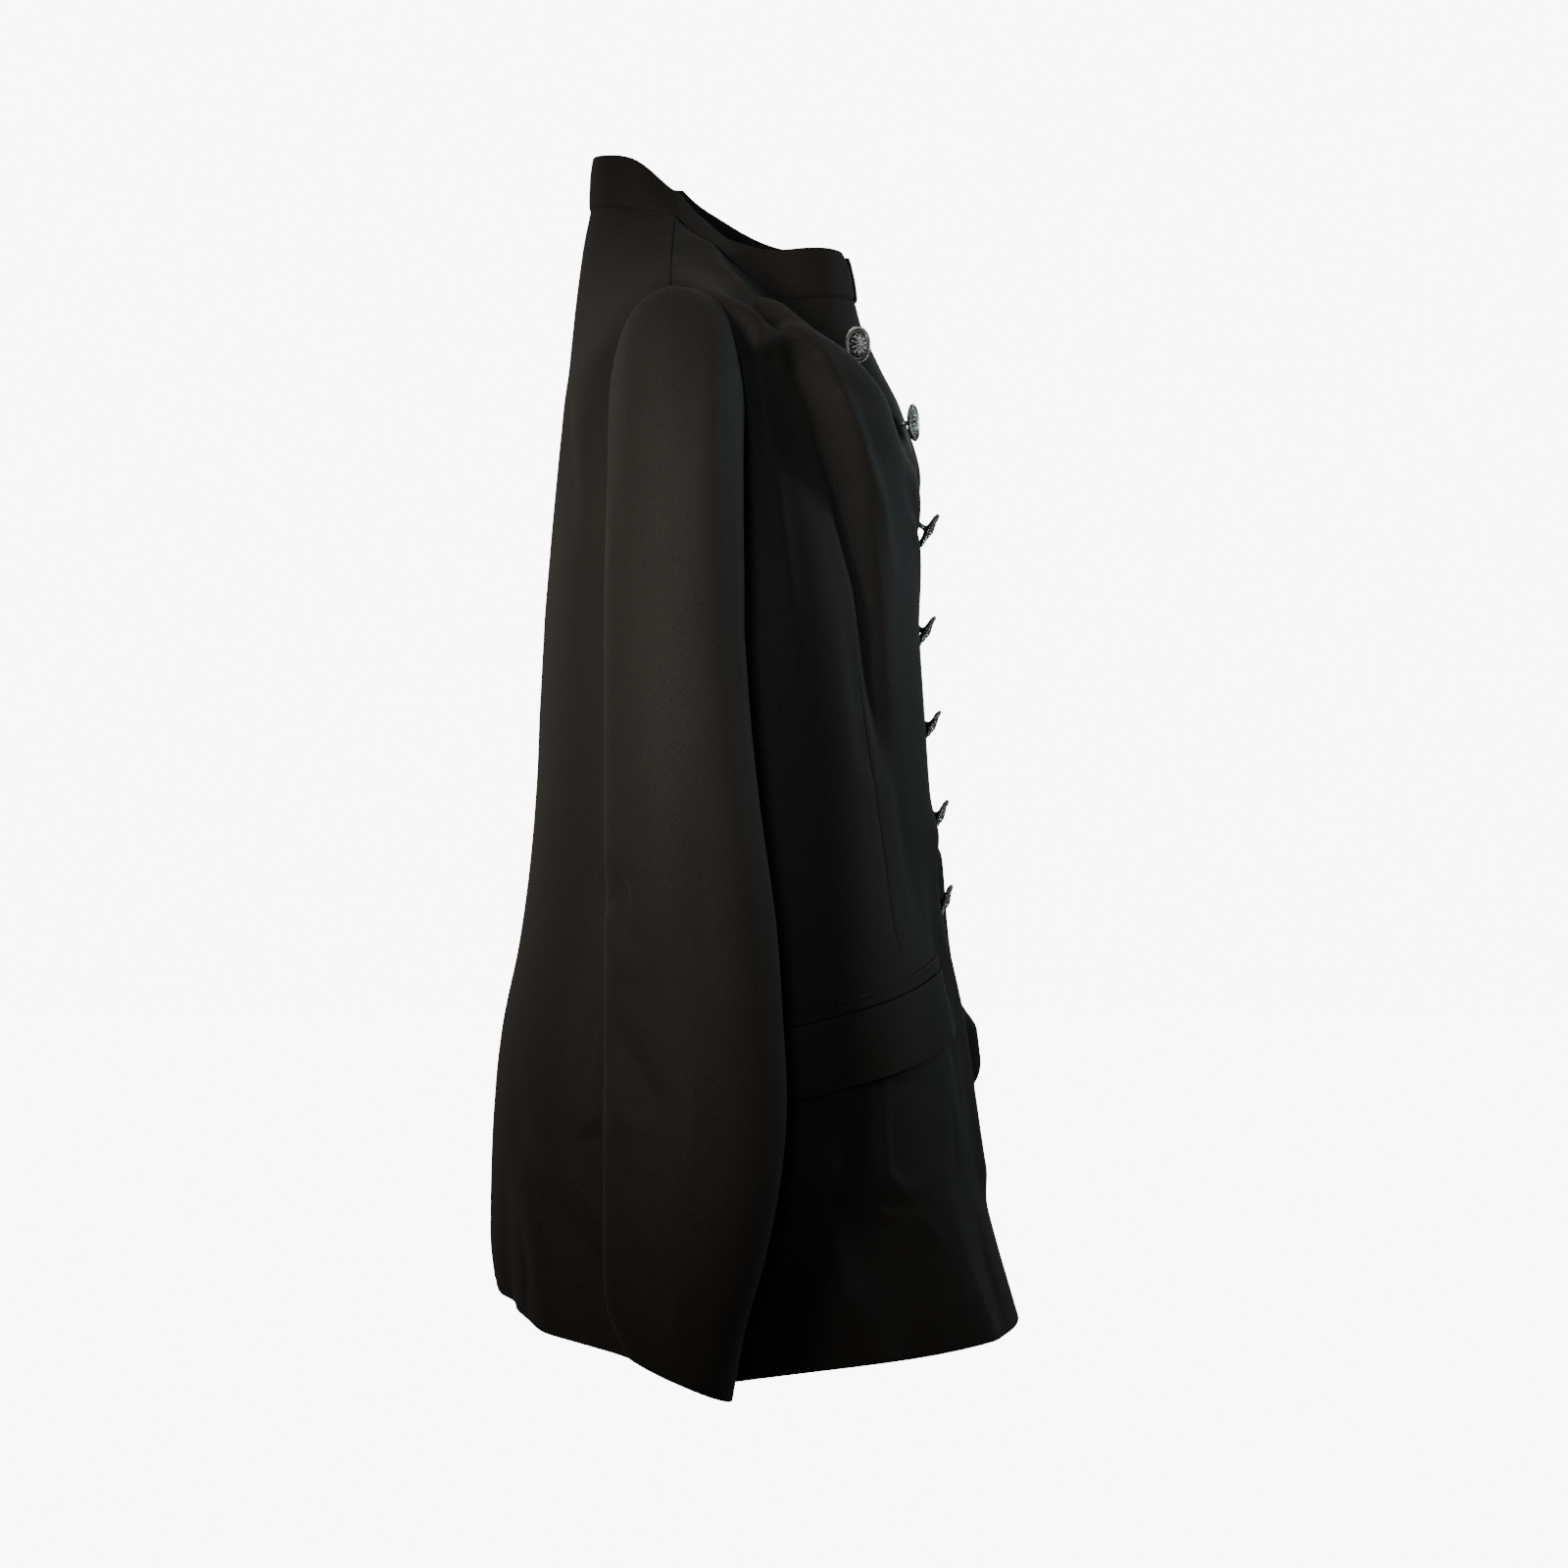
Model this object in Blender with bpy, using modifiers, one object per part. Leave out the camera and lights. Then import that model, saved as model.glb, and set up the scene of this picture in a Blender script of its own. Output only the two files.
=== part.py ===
"""A long blazer with a stand collar, worn shape, empty inside.

The front faces -Y and +X is the wearer's left. The origin is at the middle of the neck opening, level
with the points where the shoulder seams meet the collar. All sizes are in metres.

The body is drawn by rings round the wearer. A place on it is given by its angle from centre front,
where +90 degrees is the left side seam and -90 the right one, and by its level, which is the height of
its ring at the side seam. The panels are cut from that one surface, so their edges meet at the seams.
"""

import math

import bmesh
import bpy
import numpy as np
from mathutils import Vector

# Cloth and seams
CLOTH = 0.0016
COLLAR_CLOTH = 0.0026
SEAM_GAP = 0.0007
LAYER_GAP = 0.0008

# Levels of the body and how many rows of faces each stretch has
HEM_LEVEL = -0.695
UNDERARM_LEVEL = -0.250
SHOULDER_LEVEL = -0.062
SKIRT_ROWS = 17
ARMHOLE_ROWS = 10
YOKE_ROWS = 4
FRONT_COLUMNS = 22
BACK_COLUMNS = 24

# Share of a panel, from its middle, whose columns take no notice of the armhole
PLAIN_SHARE = 0.55

# Steps for measuring along curves and for finding which way a surface faces
FINE_STEPS = 120
TURN_STEP = 0.01
LEVEL_STEP = 0.0015

# Armhole, measured round the body at each side of the shoulder seam
ARMHOLE_FRONT = 0.041
ARMHOLE_BACK = 0.036
ARMHOLE_LOW_ROUNDNESS = 0.42
ARMHOLE_HIGH_ROUNDNESS = 0.27

# Front closing: the edge of the right front drifts towards the middle on its way down
EDGE_X_NECK = -0.012
EDGE_X_HEM = -0.004
UNDERLAP_COLUMNS = 3
UNDERLAP_EASE = 0.018

# Rings of the body, from hem to neck. front_y, back_y and side_y are where each ring passes the middle
# of the front, the middle of the back and the side seam; swell squares the ring's corners off, and bow
# bends its front down early, as the neckline does.
RING_COLUMNS = ("level", "front_z", "back_z", "half_width", "front_y", "back_y", "side_y", "swell", "bow")
RINGS = (
    (-0.695, -0.685, -0.661, 0.225, -0.1860, 0.1425, -0.010, 0.04, 0.9),
    (-0.650, -0.646, -0.638, 0.220, -0.1745, 0.1450, -0.008, 0.04, 0.6),
    (-0.600, -0.599, -0.596, 0.215, -0.1625, 0.1450, -0.006, 0.05, 0.3),
    (-0.550, -0.550, -0.550, 0.209, -0.1548, 0.1436, -0.003, 0.06, 0.0),
    (-0.500, -0.500, -0.500, 0.203, -0.1478, 0.1395, 0.000, 0.06, 0.0),
    (-0.450, -0.450, -0.450, 0.197, -0.1385, 0.1292, 0.005, 0.06, 0.0),
    (-0.400, -0.400, -0.400, 0.191, -0.1315, 0.1217, 0.010, 0.06, 0.0),
    (-0.350, -0.350, -0.350, 0.188, -0.1278, 0.1170, 0.015, 0.07, 0.0),
    (-0.300, -0.300, -0.300, 0.190, -0.1243, 0.1148, 0.020, 0.08, 0.0),
    (-0.250, -0.252, -0.250, 0.192, -0.1218, 0.1122, 0.025, 0.08, 0.0),
    (-0.200, -0.208, -0.204, 0.189, -0.1225, 0.1086, 0.028, 0.07, 0.0),
    (-0.150, -0.175, -0.166, 0.187, -0.1249, 0.1053, 0.028, 0.06, 0.0),
    (-0.100, -0.145, -0.130, 0.193, -0.1245, 0.1018, 0.028, 0.05, 0.0),
    (-0.062, -0.115, -0.098, 0.203, -0.1128, 0.0982, 0.028, 0.02, 0.1),
    (-0.031, -0.085, -0.042, 0.137, -0.0975, 0.0930, 0.029, -0.03, 0.6),
    (-0.012, -0.062, -0.006, 0.096, -0.0880, 0.0880, 0.029, -0.04, 0.9),
    (0.000, -0.0456, 0.012, 0.070, -0.0836, 0.0842, 0.029, 0.00, 1.0),
)
NECK_BOW = 2.6
BACK_BOW = 1.2

# Folds of the hanging cloth: how far each stands out (or, when negative, sinks in) at its first place and
# at its last, how wide it is from its middle to where it fades, and the places (angle in degrees, level)
# that it runs through.
FOLD_COLUMNS = ("start", "end", "width", "places")
FOLDS = (
    # Right front, from the neck down past the arm
    (0.0070, 0.0, 0.016, ((-80, -0.008), (-70, -0.040), (-68, -0.120), (-65, -0.200), (-62, -0.360))),
    (-0.0100, 0.0, 0.018, ((-66, -0.050), (-61, -0.122), (-52, -0.190), (-46, -0.265), (-42, -0.400))),
    (0.0055, 0.0, 0.015, ((-61, -0.040), (-61, -0.077), (-54, -0.125), (-46, -0.170), (-38, -0.240))),
    (-0.0050, -0.0020, 0.016, ((-74, -0.140), (-75, -0.210), (-74, -0.290), (-71, -0.400))),
    (-0.0150, -0.0150, 0.028, ((-48, -0.012), (-38, -0.030), (-28, -0.052), (-22, -0.080))),
    (0.0030, 0.0030, 0.020, ((-50, -0.095), (-30, -0.098))),
    # Both sides of the chest stand out and leave a hollow where the fronts are buttoned
    (0.0050, 0.0050, 0.032, ((-19, -0.130), (-20, -0.200), (-20, -0.300), (-18, -0.370))),
    (0.0040, 0.0040, 0.032, ((21, -0.130), (21, -0.200), (21, -0.300), (20, -0.400))),
    (-0.0080, -0.0080, 0.030, ((-9, -0.115), (-8, -0.160), (-6, -0.300), (-5, -0.420))),
    # Left front, its own fall of the same folds
    (0.0065, 0.0, 0.017, ((79, -0.010), (72, -0.034), (69, -0.100), (66, -0.200), (64, -0.340))),
    (-0.0090, 0.0, 0.019, ((66, -0.048), (61, -0.115), (54, -0.170), (48, -0.250), (44, -0.380))),
    (0.0050, 0.0, 0.016, ((60, -0.045), (58, -0.085), (52, -0.130), (45, -0.190))),
    (-0.0050, -0.0050, 0.026, ((48, -0.014), (40, -0.035))),
    (-0.0045, -0.0015, 0.016, ((74, -0.150), (75, -0.230), (73, -0.330))),
    # Fronts below the buttons: the edge of each fold, and the swing of the free left edge
    (0.0050, 0.0050, 0.017, ((-17, -0.385), (-15, -0.450), (-12, -0.520), (-9, -0.590))),
    (0.0085, 0.0085, 0.018, ((12, -0.400), (15, -0.450), (17, -0.500), (18, -0.530))),
    (0.0100, 0.0100, 0.014, ((15, -0.512), (17, -0.540))),
    # Skirt at the right side
    (-0.0045, -0.0025, 0.022, ((-62, -0.530), (-64, -0.570), (-66, -0.610))),
    (0.0055, 0.0065, 0.018, ((-73, -0.580), (-71, -0.610), (-70, -0.650))),
    (0.0040, 0.0010, 0.018, ((-67, -0.570), (-54, -0.591))),
    (0.0040, 0.0070, 0.024, ((-40, -0.600), (-36, -0.695))),
    (-0.0025, -0.0050, 0.022, ((-55, -0.640), (-54, -0.695))),
    # Skirt at the left side
    (0.0035, 0.0070, 0.021, ((70, -0.560), (68, -0.620), (69, -0.695))),
    (-0.0030, -0.0060, 0.022, ((57, -0.570), (55, -0.640), (56, -0.695))),
    (0.0035, 0.0065, 0.024, ((41, -0.590), (38, -0.695))),
    # Back, right half
    (-0.0060, -0.0030, 0.017, ((-125, -0.130), (-123, -0.190), (-121, -0.250))),
    (-0.0035, -0.0060, 0.021, ((-120, -0.420), (-122, -0.510), (-121, -0.560))),
    (-0.0030, -0.0055, 0.018, ((-144, -0.560), (-131, -0.607), (-122, -0.635), (-115, -0.680))),
    (0.0030, 0.0065, 0.022, ((-137, -0.590), (-133, -0.695))),
    (-0.0020, -0.0045, 0.018, ((-152, -0.610), (-154, -0.695))),
    (0.0020, 0.0055, 0.018, ((-106, -0.560), (-107, -0.695))),
    # Back, left half
    (-0.0055, -0.0030, 0.017, ((124, -0.140), (122, -0.210), (123, -0.270))),
    (-0.0035, -0.0060, 0.022, ((122, -0.430), (121, -0.550))),
    (0.0030, 0.0060, 0.022, ((140, -0.580), (138, -0.695))),
    (-0.0020, -0.0050, 0.020, ((150, -0.600), (156, -0.695))),
    (0.0020, 0.0055, 0.019, ((107, -0.570), (106, -0.695))),
    # Back, middle
    (0.0015, 0.0040, 0.030, ((178, -0.540), (176, -0.695))),
)

# Stand collar, at angles from centre front: how far its top edge is above and inside its seam, on the
# right side, which sags towards the neck, and on the left, which stands up.
COLLAR_COLUMNS = ("angle", "right_rise", "right_lean", "left_rise", "left_lean")
COLLAR_ROWS = (
    (0, 0.0265, 0.005, 0.0270, 0.005),
    (30, 0.0300, 0.007, 0.0330, 0.006),
    (50, 0.0290, 0.010, 0.0370, 0.005),
    (60, 0.0250, 0.014, 0.0375, 0.005),
    (70, 0.0180, 0.017, 0.0375, 0.006),
    (90, 0.0150, 0.018, 0.0330, 0.009),
    (125, 0.0300, 0.010, 0.0330, 0.009),
    (155, 0.0315, 0.004, 0.0325, 0.004),
    (180, 0.0320, 0.002, 0.0320, 0.002),
)
COLLAR_COLUMN_COUNT = 34
COLLAR_ROW_COUNT = 3
COLLAR_END_GAP = 0.005
COLLAR_CORNER = 0.007
COLLAR_STEP = 0.0012
COLLAR_SEAM = 0.0014
COLLAR_MIDDLE_Y = 0.020

# Sleeve, from the upper arm to the cuff. Each ring is level but for tilt, which lifts its back edge.
SLEEVE_COLUMNS = ("level", "middle_x", "half_x", "front_y", "back_y", "tilt")
SLEEVE_ROWS = (
    (-0.262, 0.2470, 0.0455, -0.0139, 0.0630, 0.000),
    (-0.330, 0.2505, 0.0450, -0.0190, 0.0630, 0.000),
    (-0.370, 0.2525, 0.0450, -0.0234, 0.0630, 0.000),
    (-0.430, 0.2555, 0.0450, -0.0320, 0.0630, 0.000),
    (-0.485, 0.2590, 0.0440, -0.0363, 0.0630, 0.000),
    (-0.535, 0.2620, 0.0430, -0.0380, 0.0630, 0.001),
    (-0.580, 0.2645, 0.0410, -0.0330, 0.0630, 0.003),
    (-0.620, 0.2665, 0.0390, -0.0240, 0.0630, 0.006),
    (-0.650, 0.2680, 0.0375, -0.0145, 0.0610, 0.012),
    (-0.684, 0.2700, 0.0360, -0.0070, 0.0500, 0.026),
)
SLEEVE_TUBE_ROWS = 16
SLEEVE_HEAD_ROWS = 6
SLEEVE_HEAD_DROP = 0.30
SLEEVE_HEAD_REACH = 0.85
SLEEVE_CREASE = 0.35
SLEEVE_FLATNESS = 0.62

# Wrinkles of the sleeve, in the columns of the folds; their places are (turn, level), where turn 0 is the
# outer side, 90 the front and 270 the back.
SLEEVE_FOLDS = (
    (-0.0040, -0.0010, 0.016, ((300, -0.415), (328, -0.455), (340, -0.490))),
    (0.0035, 0.0010, 0.015, ((322, -0.425), (345, -0.470))),
    (-0.0035, -0.0015, 0.018, ((315, -0.520), (338, -0.560))),
    (0.0035, 0.0010, 0.022, ((30, -0.090), (35, -0.200))),
    (-0.0035, 0.0, 0.020, ((62, -0.110), (66, -0.230))),
    (0.0010, 0.0030, 0.020, ((40, -0.560), (35, -0.640))),
)

# Pocket flap, laid out on the unrolled front: place of its front top corner, its size, and how far it
# falls towards the side seam
FLAP_ANGLE = 25.5
FLAP_LEVEL = -0.455
FLAP_LENGTH = 0.178
FLAP_DEPTH = 0.048
FLAP_SLOPE = 11.0
FLAP_LIFT_TOP = 0.0034
FLAP_LIFT_BOTTOM = 0.0048
FLAP_COLUMNS = 10
FLAP_ROW_COUNT = 3
WELT_HEIGHT = 0.0075
WELT_LIFT = 0.0026

# Buttons on the right front: the height of each, how far it is behind the edge, and how many degrees it
# turns to the side and nods forward on its shank
BUTTON_COLUMNS = ("height", "inset", "turn", "nod")
BUTTON_ROWS = (
    (-0.079, 0.044, 42, 3),
    (-0.127, 0.040, 17, -3),
    (-0.188, 0.033, 3, 30),
    (-0.251, 0.030, 2, 30),
    (-0.311, 0.029, 2, 30),
    (-0.367, 0.029, 4, 26),
    (-0.421, 0.028, 5, 20),
)
BUTTON_GAP = 0.0012
BUTTON_STEPS = 16
MERGE = 0.00005

# Outline of a button as (radius, height), from the middle of its face, over boss and roped rim, to the
# foot of its shank
SHANK_RADIUS = 0.0022
BUTTON_PROFILE = (
    (0.0000, 0.0108),
    (0.0035, 0.0105),
    (0.0062, 0.0094),
    (0.0082, 0.0086),
    (0.0102, 0.0092),
    (0.0118, 0.0082),
    (0.0106, 0.0068),
    (0.0030, 0.0062),
    (SHANK_RADIUS, 0.0),
    (0.0000, 0.0),
)

WOOL = (0.012, 0.011, 0.010, 1.0)
SILVER = (0.42, 0.41, 0.39, 1.0)


def smooth_table(rows, column, places):
    """One column of a table at any places along its first column, on a smooth curve through the rows."""
    table = np.array(rows, float)
    known, value = table[:, 0], table[:, column]
    slope = np.gradient(value, known)
    places = np.clip(places, known[0], known[-1])
    k = np.clip(np.searchsorted(known, places, side="right") - 1, 0, len(known) - 2)
    span = known[k + 1] - known[k]
    t = (places - known[k]) / span
    near = value[k] * (1 + 2 * t) * (1 - t) ** 2 + slope[k] * span * t * (1 - t) ** 2
    far = value[k + 1] * t * t * (3 - 2 * t) + slope[k + 1] * span * t * t * (t - 1)
    return near + far


def ring_value(name, level):
    return smooth_table(RINGS, RING_COLUMNS.index(name), level)


def flat_body(angle, level):
    """Points of the body without its folds; angle is in radians."""
    cos, sin = np.cos(angle), np.sin(angle)
    side_y = ring_value("side_y", level)
    swell = 1 + ring_value("swell", level) * np.sin(2 * angle) ** 2
    reach = np.where(cos > 0, side_y - ring_value("front_y", level), ring_value("back_y", level) - side_y)
    ahead = np.clip(cos, 0, 1)
    bow = ring_value("bow", level)
    front_share = (1 - bow) * ahead**2 + bow * (1 - (1 - ahead) ** NECK_BOW)
    front_z = (ring_value("front_z", level) - level) * front_share
    back_z = (ring_value("back_z", level) - level) * np.clip(-cos, 0, 1) ** BACK_BOW
    x = ring_value("half_width", level) * sin * swell
    y = side_y - reach * cos * swell
    z = level + np.where(cos > 0, front_z, back_z)
    return np.stack([x, y, z], axis=-1)


def outward(shape, angle, level):
    """Unit normals of a surface, from points a little way off in each direction."""
    along = shape(angle + TURN_STEP, level) - shape(angle - TURN_STEP, level)
    up = shape(angle, level + LEVEL_STEP) - shape(angle, level - LEVEL_STEP)
    normal = np.cross(along, up)
    return normal / np.linalg.norm(normal, axis=-1, keepdims=True)


def body_normal(angle, level):
    inside = np.clip(level, HEM_LEVEL + LEVEL_STEP, -LEVEL_STEP)
    return outward(flat_body, angle, inside)


def fold_height(points, folds, place):
    """How far the folds lift each of the points; place(pairs) gives a fold's line on the same surface."""
    lift = np.zeros(points.shape[:-1])
    for row in folds:
        fold = dict(zip(FOLD_COLUMNS, row))
        line = place(np.array(fold["places"], float))
        nearest = np.full(lift.shape, np.inf)
        share = np.zeros(lift.shape)
        for number, (start, end) in enumerate(zip(line[:-1], line[1:])):
            step = end - start
            t = np.clip(((points - start) @ step) / (step @ step), 0, 1)
            away = np.linalg.norm(points - start - t[..., None] * step, axis=-1)
            share = np.where(away < nearest, (number + t) / (len(line) - 1), share)
            nearest = np.minimum(nearest, away)
        height = fold["start"] + (fold["end"] - fold["start"]) * share
        lift += height * np.exp(-((nearest / fold["width"]) ** 2))
    return lift


def body(angle, level, lift=0.0):
    """Points of the body with its folds, moved out by lift."""
    flat = flat_body(angle, level)
    raised = fold_height(flat, FOLDS, lambda p: flat_body(np.radians(p[:, 0]), p[:, 1]))
    return flat + body_normal(angle, level) * (raised + lift)[..., None]


def edge_x(level):
    """Where the edge of the right front runs."""
    share = (level - HEM_LEVEL) / -HEM_LEVEL
    return EDGE_X_HEM + (EDGE_X_NECK - EDGE_X_HEM) * share


def front_angle(x, level):
    """The angle near centre front whose point has this x."""
    return np.arcsin(x / ring_value("half_width", level))


def armhole_half(level, widest):
    """Half of the armhole's width at a level: nothing at the underarm and at the shoulder."""
    low, high = ARMHOLE_LOW_ROUNDNESS, ARMHOLE_HIGH_ROUNDNESS
    t = np.clip((level - UNDERARM_LEVEL) / (SHOULDER_LEVEL - UNDERARM_LEVEL), 0, 1)
    middle = low / (low + high)
    return widest * (t / middle) ** low * ((1 - t) / (1 - middle)) ** high


def side_angle(level, front):
    """The angle of a panel's outer edge, which is the side seam, the armhole and the shoulder seam."""
    side_y = ring_value("side_y", level)
    if front:
        return math.pi / 2 - (armhole_half(level, ARMHOLE_FRONT) + SEAM_GAP / 2) / (
            side_y - ring_value("front_y", level)
        )
    return math.pi / 2 + (armhole_half(level, ARMHOLE_BACK) + SEAM_GAP / 2) / (
        ring_value("back_y", level) - side_y
    )


def body_levels():
    """Levels of the rows of faces: even in the skirt, closer together at both ends of the armhole."""
    skirt = np.linspace(HEM_LEVEL, UNDERARM_LEVEL, SKIRT_ROWS + 1)
    turn = np.linspace(0, math.pi, ARMHOLE_ROWS + 1)
    arm = UNDERARM_LEVEL + (SHOULDER_LEVEL - UNDERARM_LEVEL) * (1 - np.cos(turn)) / 2
    yoke = np.linspace(SHOULDER_LEVEL, 0, YOKE_ROWS + 1)
    return np.concatenate([skirt, arm[1:], yoke[1:]])


def spread_angles(first, last, level, count):
    """Angles from first to last whose points are evenly spaced round the body."""
    fine = np.linspace(first, last, FINE_STEPS)
    points = flat_body(fine, np.full(FINE_STEPS, level))
    run = np.concatenate([[0], np.cumsum(np.linalg.norm(np.diff(points, axis=0), axis=1))])
    return np.interp(np.linspace(0, run[-1], count + 1), run, fine)


def beside_armhole(angles, level, front):
    """Draws the outer columns of a panel in, so that its last one runs along the armhole's edge."""
    side = side_angle(level, front)
    share = np.linspace(0, 1, len(angles))
    pull = np.clip((share - PLAIN_SHARE) / (1 - PLAIN_SHARE), 0, 1)
    return angles + (side - angles[-1]) * pull


def fabric(name, colour, roughness, metallic=0.0):
    material = bpy.data.materials.new(name)
    material.use_nodes = True
    shader = material.node_tree.nodes["Principled BSDF"]
    shader.inputs["Base Color"].default_value = colour
    shader.inputs["Roughness"].default_value = roughness
    shader.inputs["Metallic"].default_value = metallic
    return material


def weave(sheet, rows, round_trip=False, inward=False):
    """Faces through rows of points, closed round if round_trip is set; gives back the points as laid."""
    grid = [[sheet.verts.new(p) for p in row] for row in rows]
    last = len(grid[0]) if round_trip else len(grid[0]) - 1
    for low, high in zip(grid[:-1], grid[1:]):
        for i in range(last):
            j = (i + 1) % len(low)
            if inward:
                sheet.faces.new((low[i], high[i], high[j], low[j]))
            else:
                sheet.faces.new((low[i], low[j], high[j], high[i]))
    return grid


def finished(name, sheet, material):
    mesh = bpy.data.meshes.new(name)
    sheet.to_mesh(mesh)
    sheet.free()
    mesh.materials.append(material)
    mesh.shade_smooth()
    piece = bpy.data.objects.new(name, mesh)
    garment.objects.link(piece)
    return piece


def surface_object(name, rows, material, thickness, round_trip=False):
    """A wall of cloth whose outer side runs through rows of points."""
    sheet = bmesh.new()
    weave(sheet, rows, round_trip)
    piece = finished(name, sheet, material)
    wall = piece.modifiers.new("cloth thickness", "SOLIDIFY")
    wall.thickness = thickness
    wall.offset = -1
    return piece


def outline(grid):
    """The points round the edge of a grid, in order."""
    return grid[0] + [row[-1] for row in grid[1:]] + grid[-1][-2::-1] + [row[0] for row in grid[-2:0:-1]]


def panel_object(name, outer, inner, material):
    """A panel from its two sides. Panels that meet take both from the body, so their edges stay parallel."""
    sheet = bmesh.new()
    outer_rim = outline(weave(sheet, outer))
    inner_rim = outline(weave(sheet, inner, inward=True))
    for i in range(len(outer_rim)):
        sheet.faces.new((outer_rim[i], outer_rim[i - 1], inner_rim[i - 1], inner_rim[i]))
    return finished(name, sheet, material)


def make_fronts():
    """Both front panels. The left one goes on under the right one for a few of its columns, a layer lower."""
    right, left = [[], []], [[], []]
    for level in body_levels():
        edge = front_angle(edge_x(level), level)
        angles = spread_angles(-edge, math.pi / 2, level, FRONT_COLUMNS)
        angles = -beside_armhole(angles, level, front=True)[::-1]
        heights = np.full(len(angles), level)
        right[0].append(body(angles, heights))
        right[1].append(body(angles, heights, -CLOTH))
        under = angles[-1 - UNDERLAP_COLUMNS : -1]
        angles = beside_armhole(spread_angles(edge, math.pi / 2, level, FRONT_COLUMNS), level, front=True)
        angles = np.concatenate([under, angles])
        heights = np.full(len(angles), level)
        flat = flat_body(angles, heights)
        covered = np.clip((edge_x(level) + UNDERLAP_EASE - flat[:, 0]) / UNDERLAP_EASE, 0, 1)
        sunk = covered * covered * (3 - 2 * covered) * (CLOTH + LAYER_GAP)
        left[0].append(body(angles, heights, -sunk))
        left[1].append(body(angles, heights, -sunk - CLOTH))
    panel_object("right_front", *right, wool)
    panel_object("left_front", *left, wool)


def make_back():
    outer, inner = [], []
    for level in body_levels():
        half = spread_angles(math.pi, math.pi / 2, level, BACK_COLUMNS // 2)
        half = beside_armhole(half, level, front=False)
        angles = np.concatenate([half[::-1], 2 * math.pi - half[1:]])
        heights = np.full(len(angles), level)
        outer.append(body(angles, heights))
        inner.append(body(angles, heights, -CLOTH))
    panel_object("back", outer, inner, wool)


def armhole_ring(side):
    """Points round an armhole, from the shoulder down the front to the underarm and up the back."""
    levels = body_levels()[SKIRT_ROWS : SKIRT_ROWS + ARMHOLE_ROWS + 1]
    down = levels[::-1]
    up = levels[1:-1]
    front = side * side_angle(down, front=True)
    back = side * side_angle(up, front=False)
    angle = np.concatenate([front, back])
    level = np.concatenate([down, up])
    middle = np.array([0, ARMHOLE_ROWS])
    angle[middle] = side * math.pi / 2
    clear = body_normal(angle, level) + (side, 0, 0)
    return body(angle, level) + clear * SEAM_GAP


def sleeve_ring(side, turn, level):
    """Points of the sleeve below the upper arm; turn is in radians."""
    def column(name):
        return smooth_table([(-r[0], *r[1:]) for r in SLEEVE_ROWS], SLEEVE_COLUMNS.index(name), -level)

    cos, sin = np.cos(turn), np.sin(turn)
    pinch = 1 - SLEEVE_CREASE * ((1 - sin) / 2) ** 3
    bulge = np.where(cos > 0, np.clip(cos, 0, 1) ** SLEEVE_FLATNESS, cos)
    middle_y = (column("front_y") + column("back_y")) / 2
    half_y = (column("back_y") - column("front_y")) / 2
    x = side * (column("middle_x") + column("half_x") * bulge * pinch)
    y = middle_y - half_y * sin
    z = level - column("tilt") * sin / 2
    return np.stack([x, y, z], axis=-1)


def sleeve_surface(side, turns, share):
    """Points of a whole sleeve; share runs from 0 at the armhole to 1 at the upper arm, then on to 2."""
    low, high = SLEEVE_ROWS[-1][0], SLEEVE_ROWS[0][0]
    if share > 1:
        return sleeve_ring(side, turns, np.full(len(turns), high + (low - high) * (share - 1)))
    start = armhole_ring(side)
    end = sleeve_ring(side, turns, np.full(len(turns), high))
    away = np.linalg.norm(end - start, axis=1, keepdims=True) * SLEEVE_HEAD_REACH
    upper = (1 + np.cos(turns)[:, None]) / 2
    leave = np.array([side, 0, 0]) - np.array([0, 0, SLEEVE_HEAD_DROP]) * upper
    arrive = np.array([0, 0, -1])
    t = share
    return (
        start * (1 + 2 * t) * (1 - t) ** 2
        + leave * away * t * (1 - t) ** 2
        + end * t * t * (3 - 2 * t)
        + arrive * away * t * t * (t - 1)
    )


def make_sleeve(name, side):
    turns = np.linspace(0, 2 * math.pi, 2 * ARMHOLE_ROWS, endpoint=False)
    head = np.linspace(0, 1, SLEEVE_HEAD_ROWS + 1)
    tube = np.linspace(1, 2, SLEEVE_TUBE_ROWS + 1)[1:]
    rows = np.stack([sleeve_surface(side, turns, share) for share in (*head, *tube)])
    low, high = SLEEVE_ROWS[-1][0], SLEEVE_ROWS[0][0]

    def on_sleeve(pairs):
        level = np.clip(pairs[:, 1], low, high)
        line = sleeve_ring(side, np.radians(pairs[:, 0]), level)
        line[:, 2] = pairs[:, 1]
        return line

    middle = rows.mean(axis=1, keepdims=True)
    out = rows - middle
    out[..., 2] = 0
    out /= np.linalg.norm(out, axis=-1, keepdims=True)
    fade = np.minimum(1, np.concatenate([head, np.ones(len(tube))]) ** 2)[:, None]
    rows = rows + out * (fold_height(rows, SLEEVE_FOLDS, on_sleeve) * fade)[..., None]
    surface_object(name, rows if side < 0 else rows[::-1], wool, CLOTH, round_trip=True)


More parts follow.
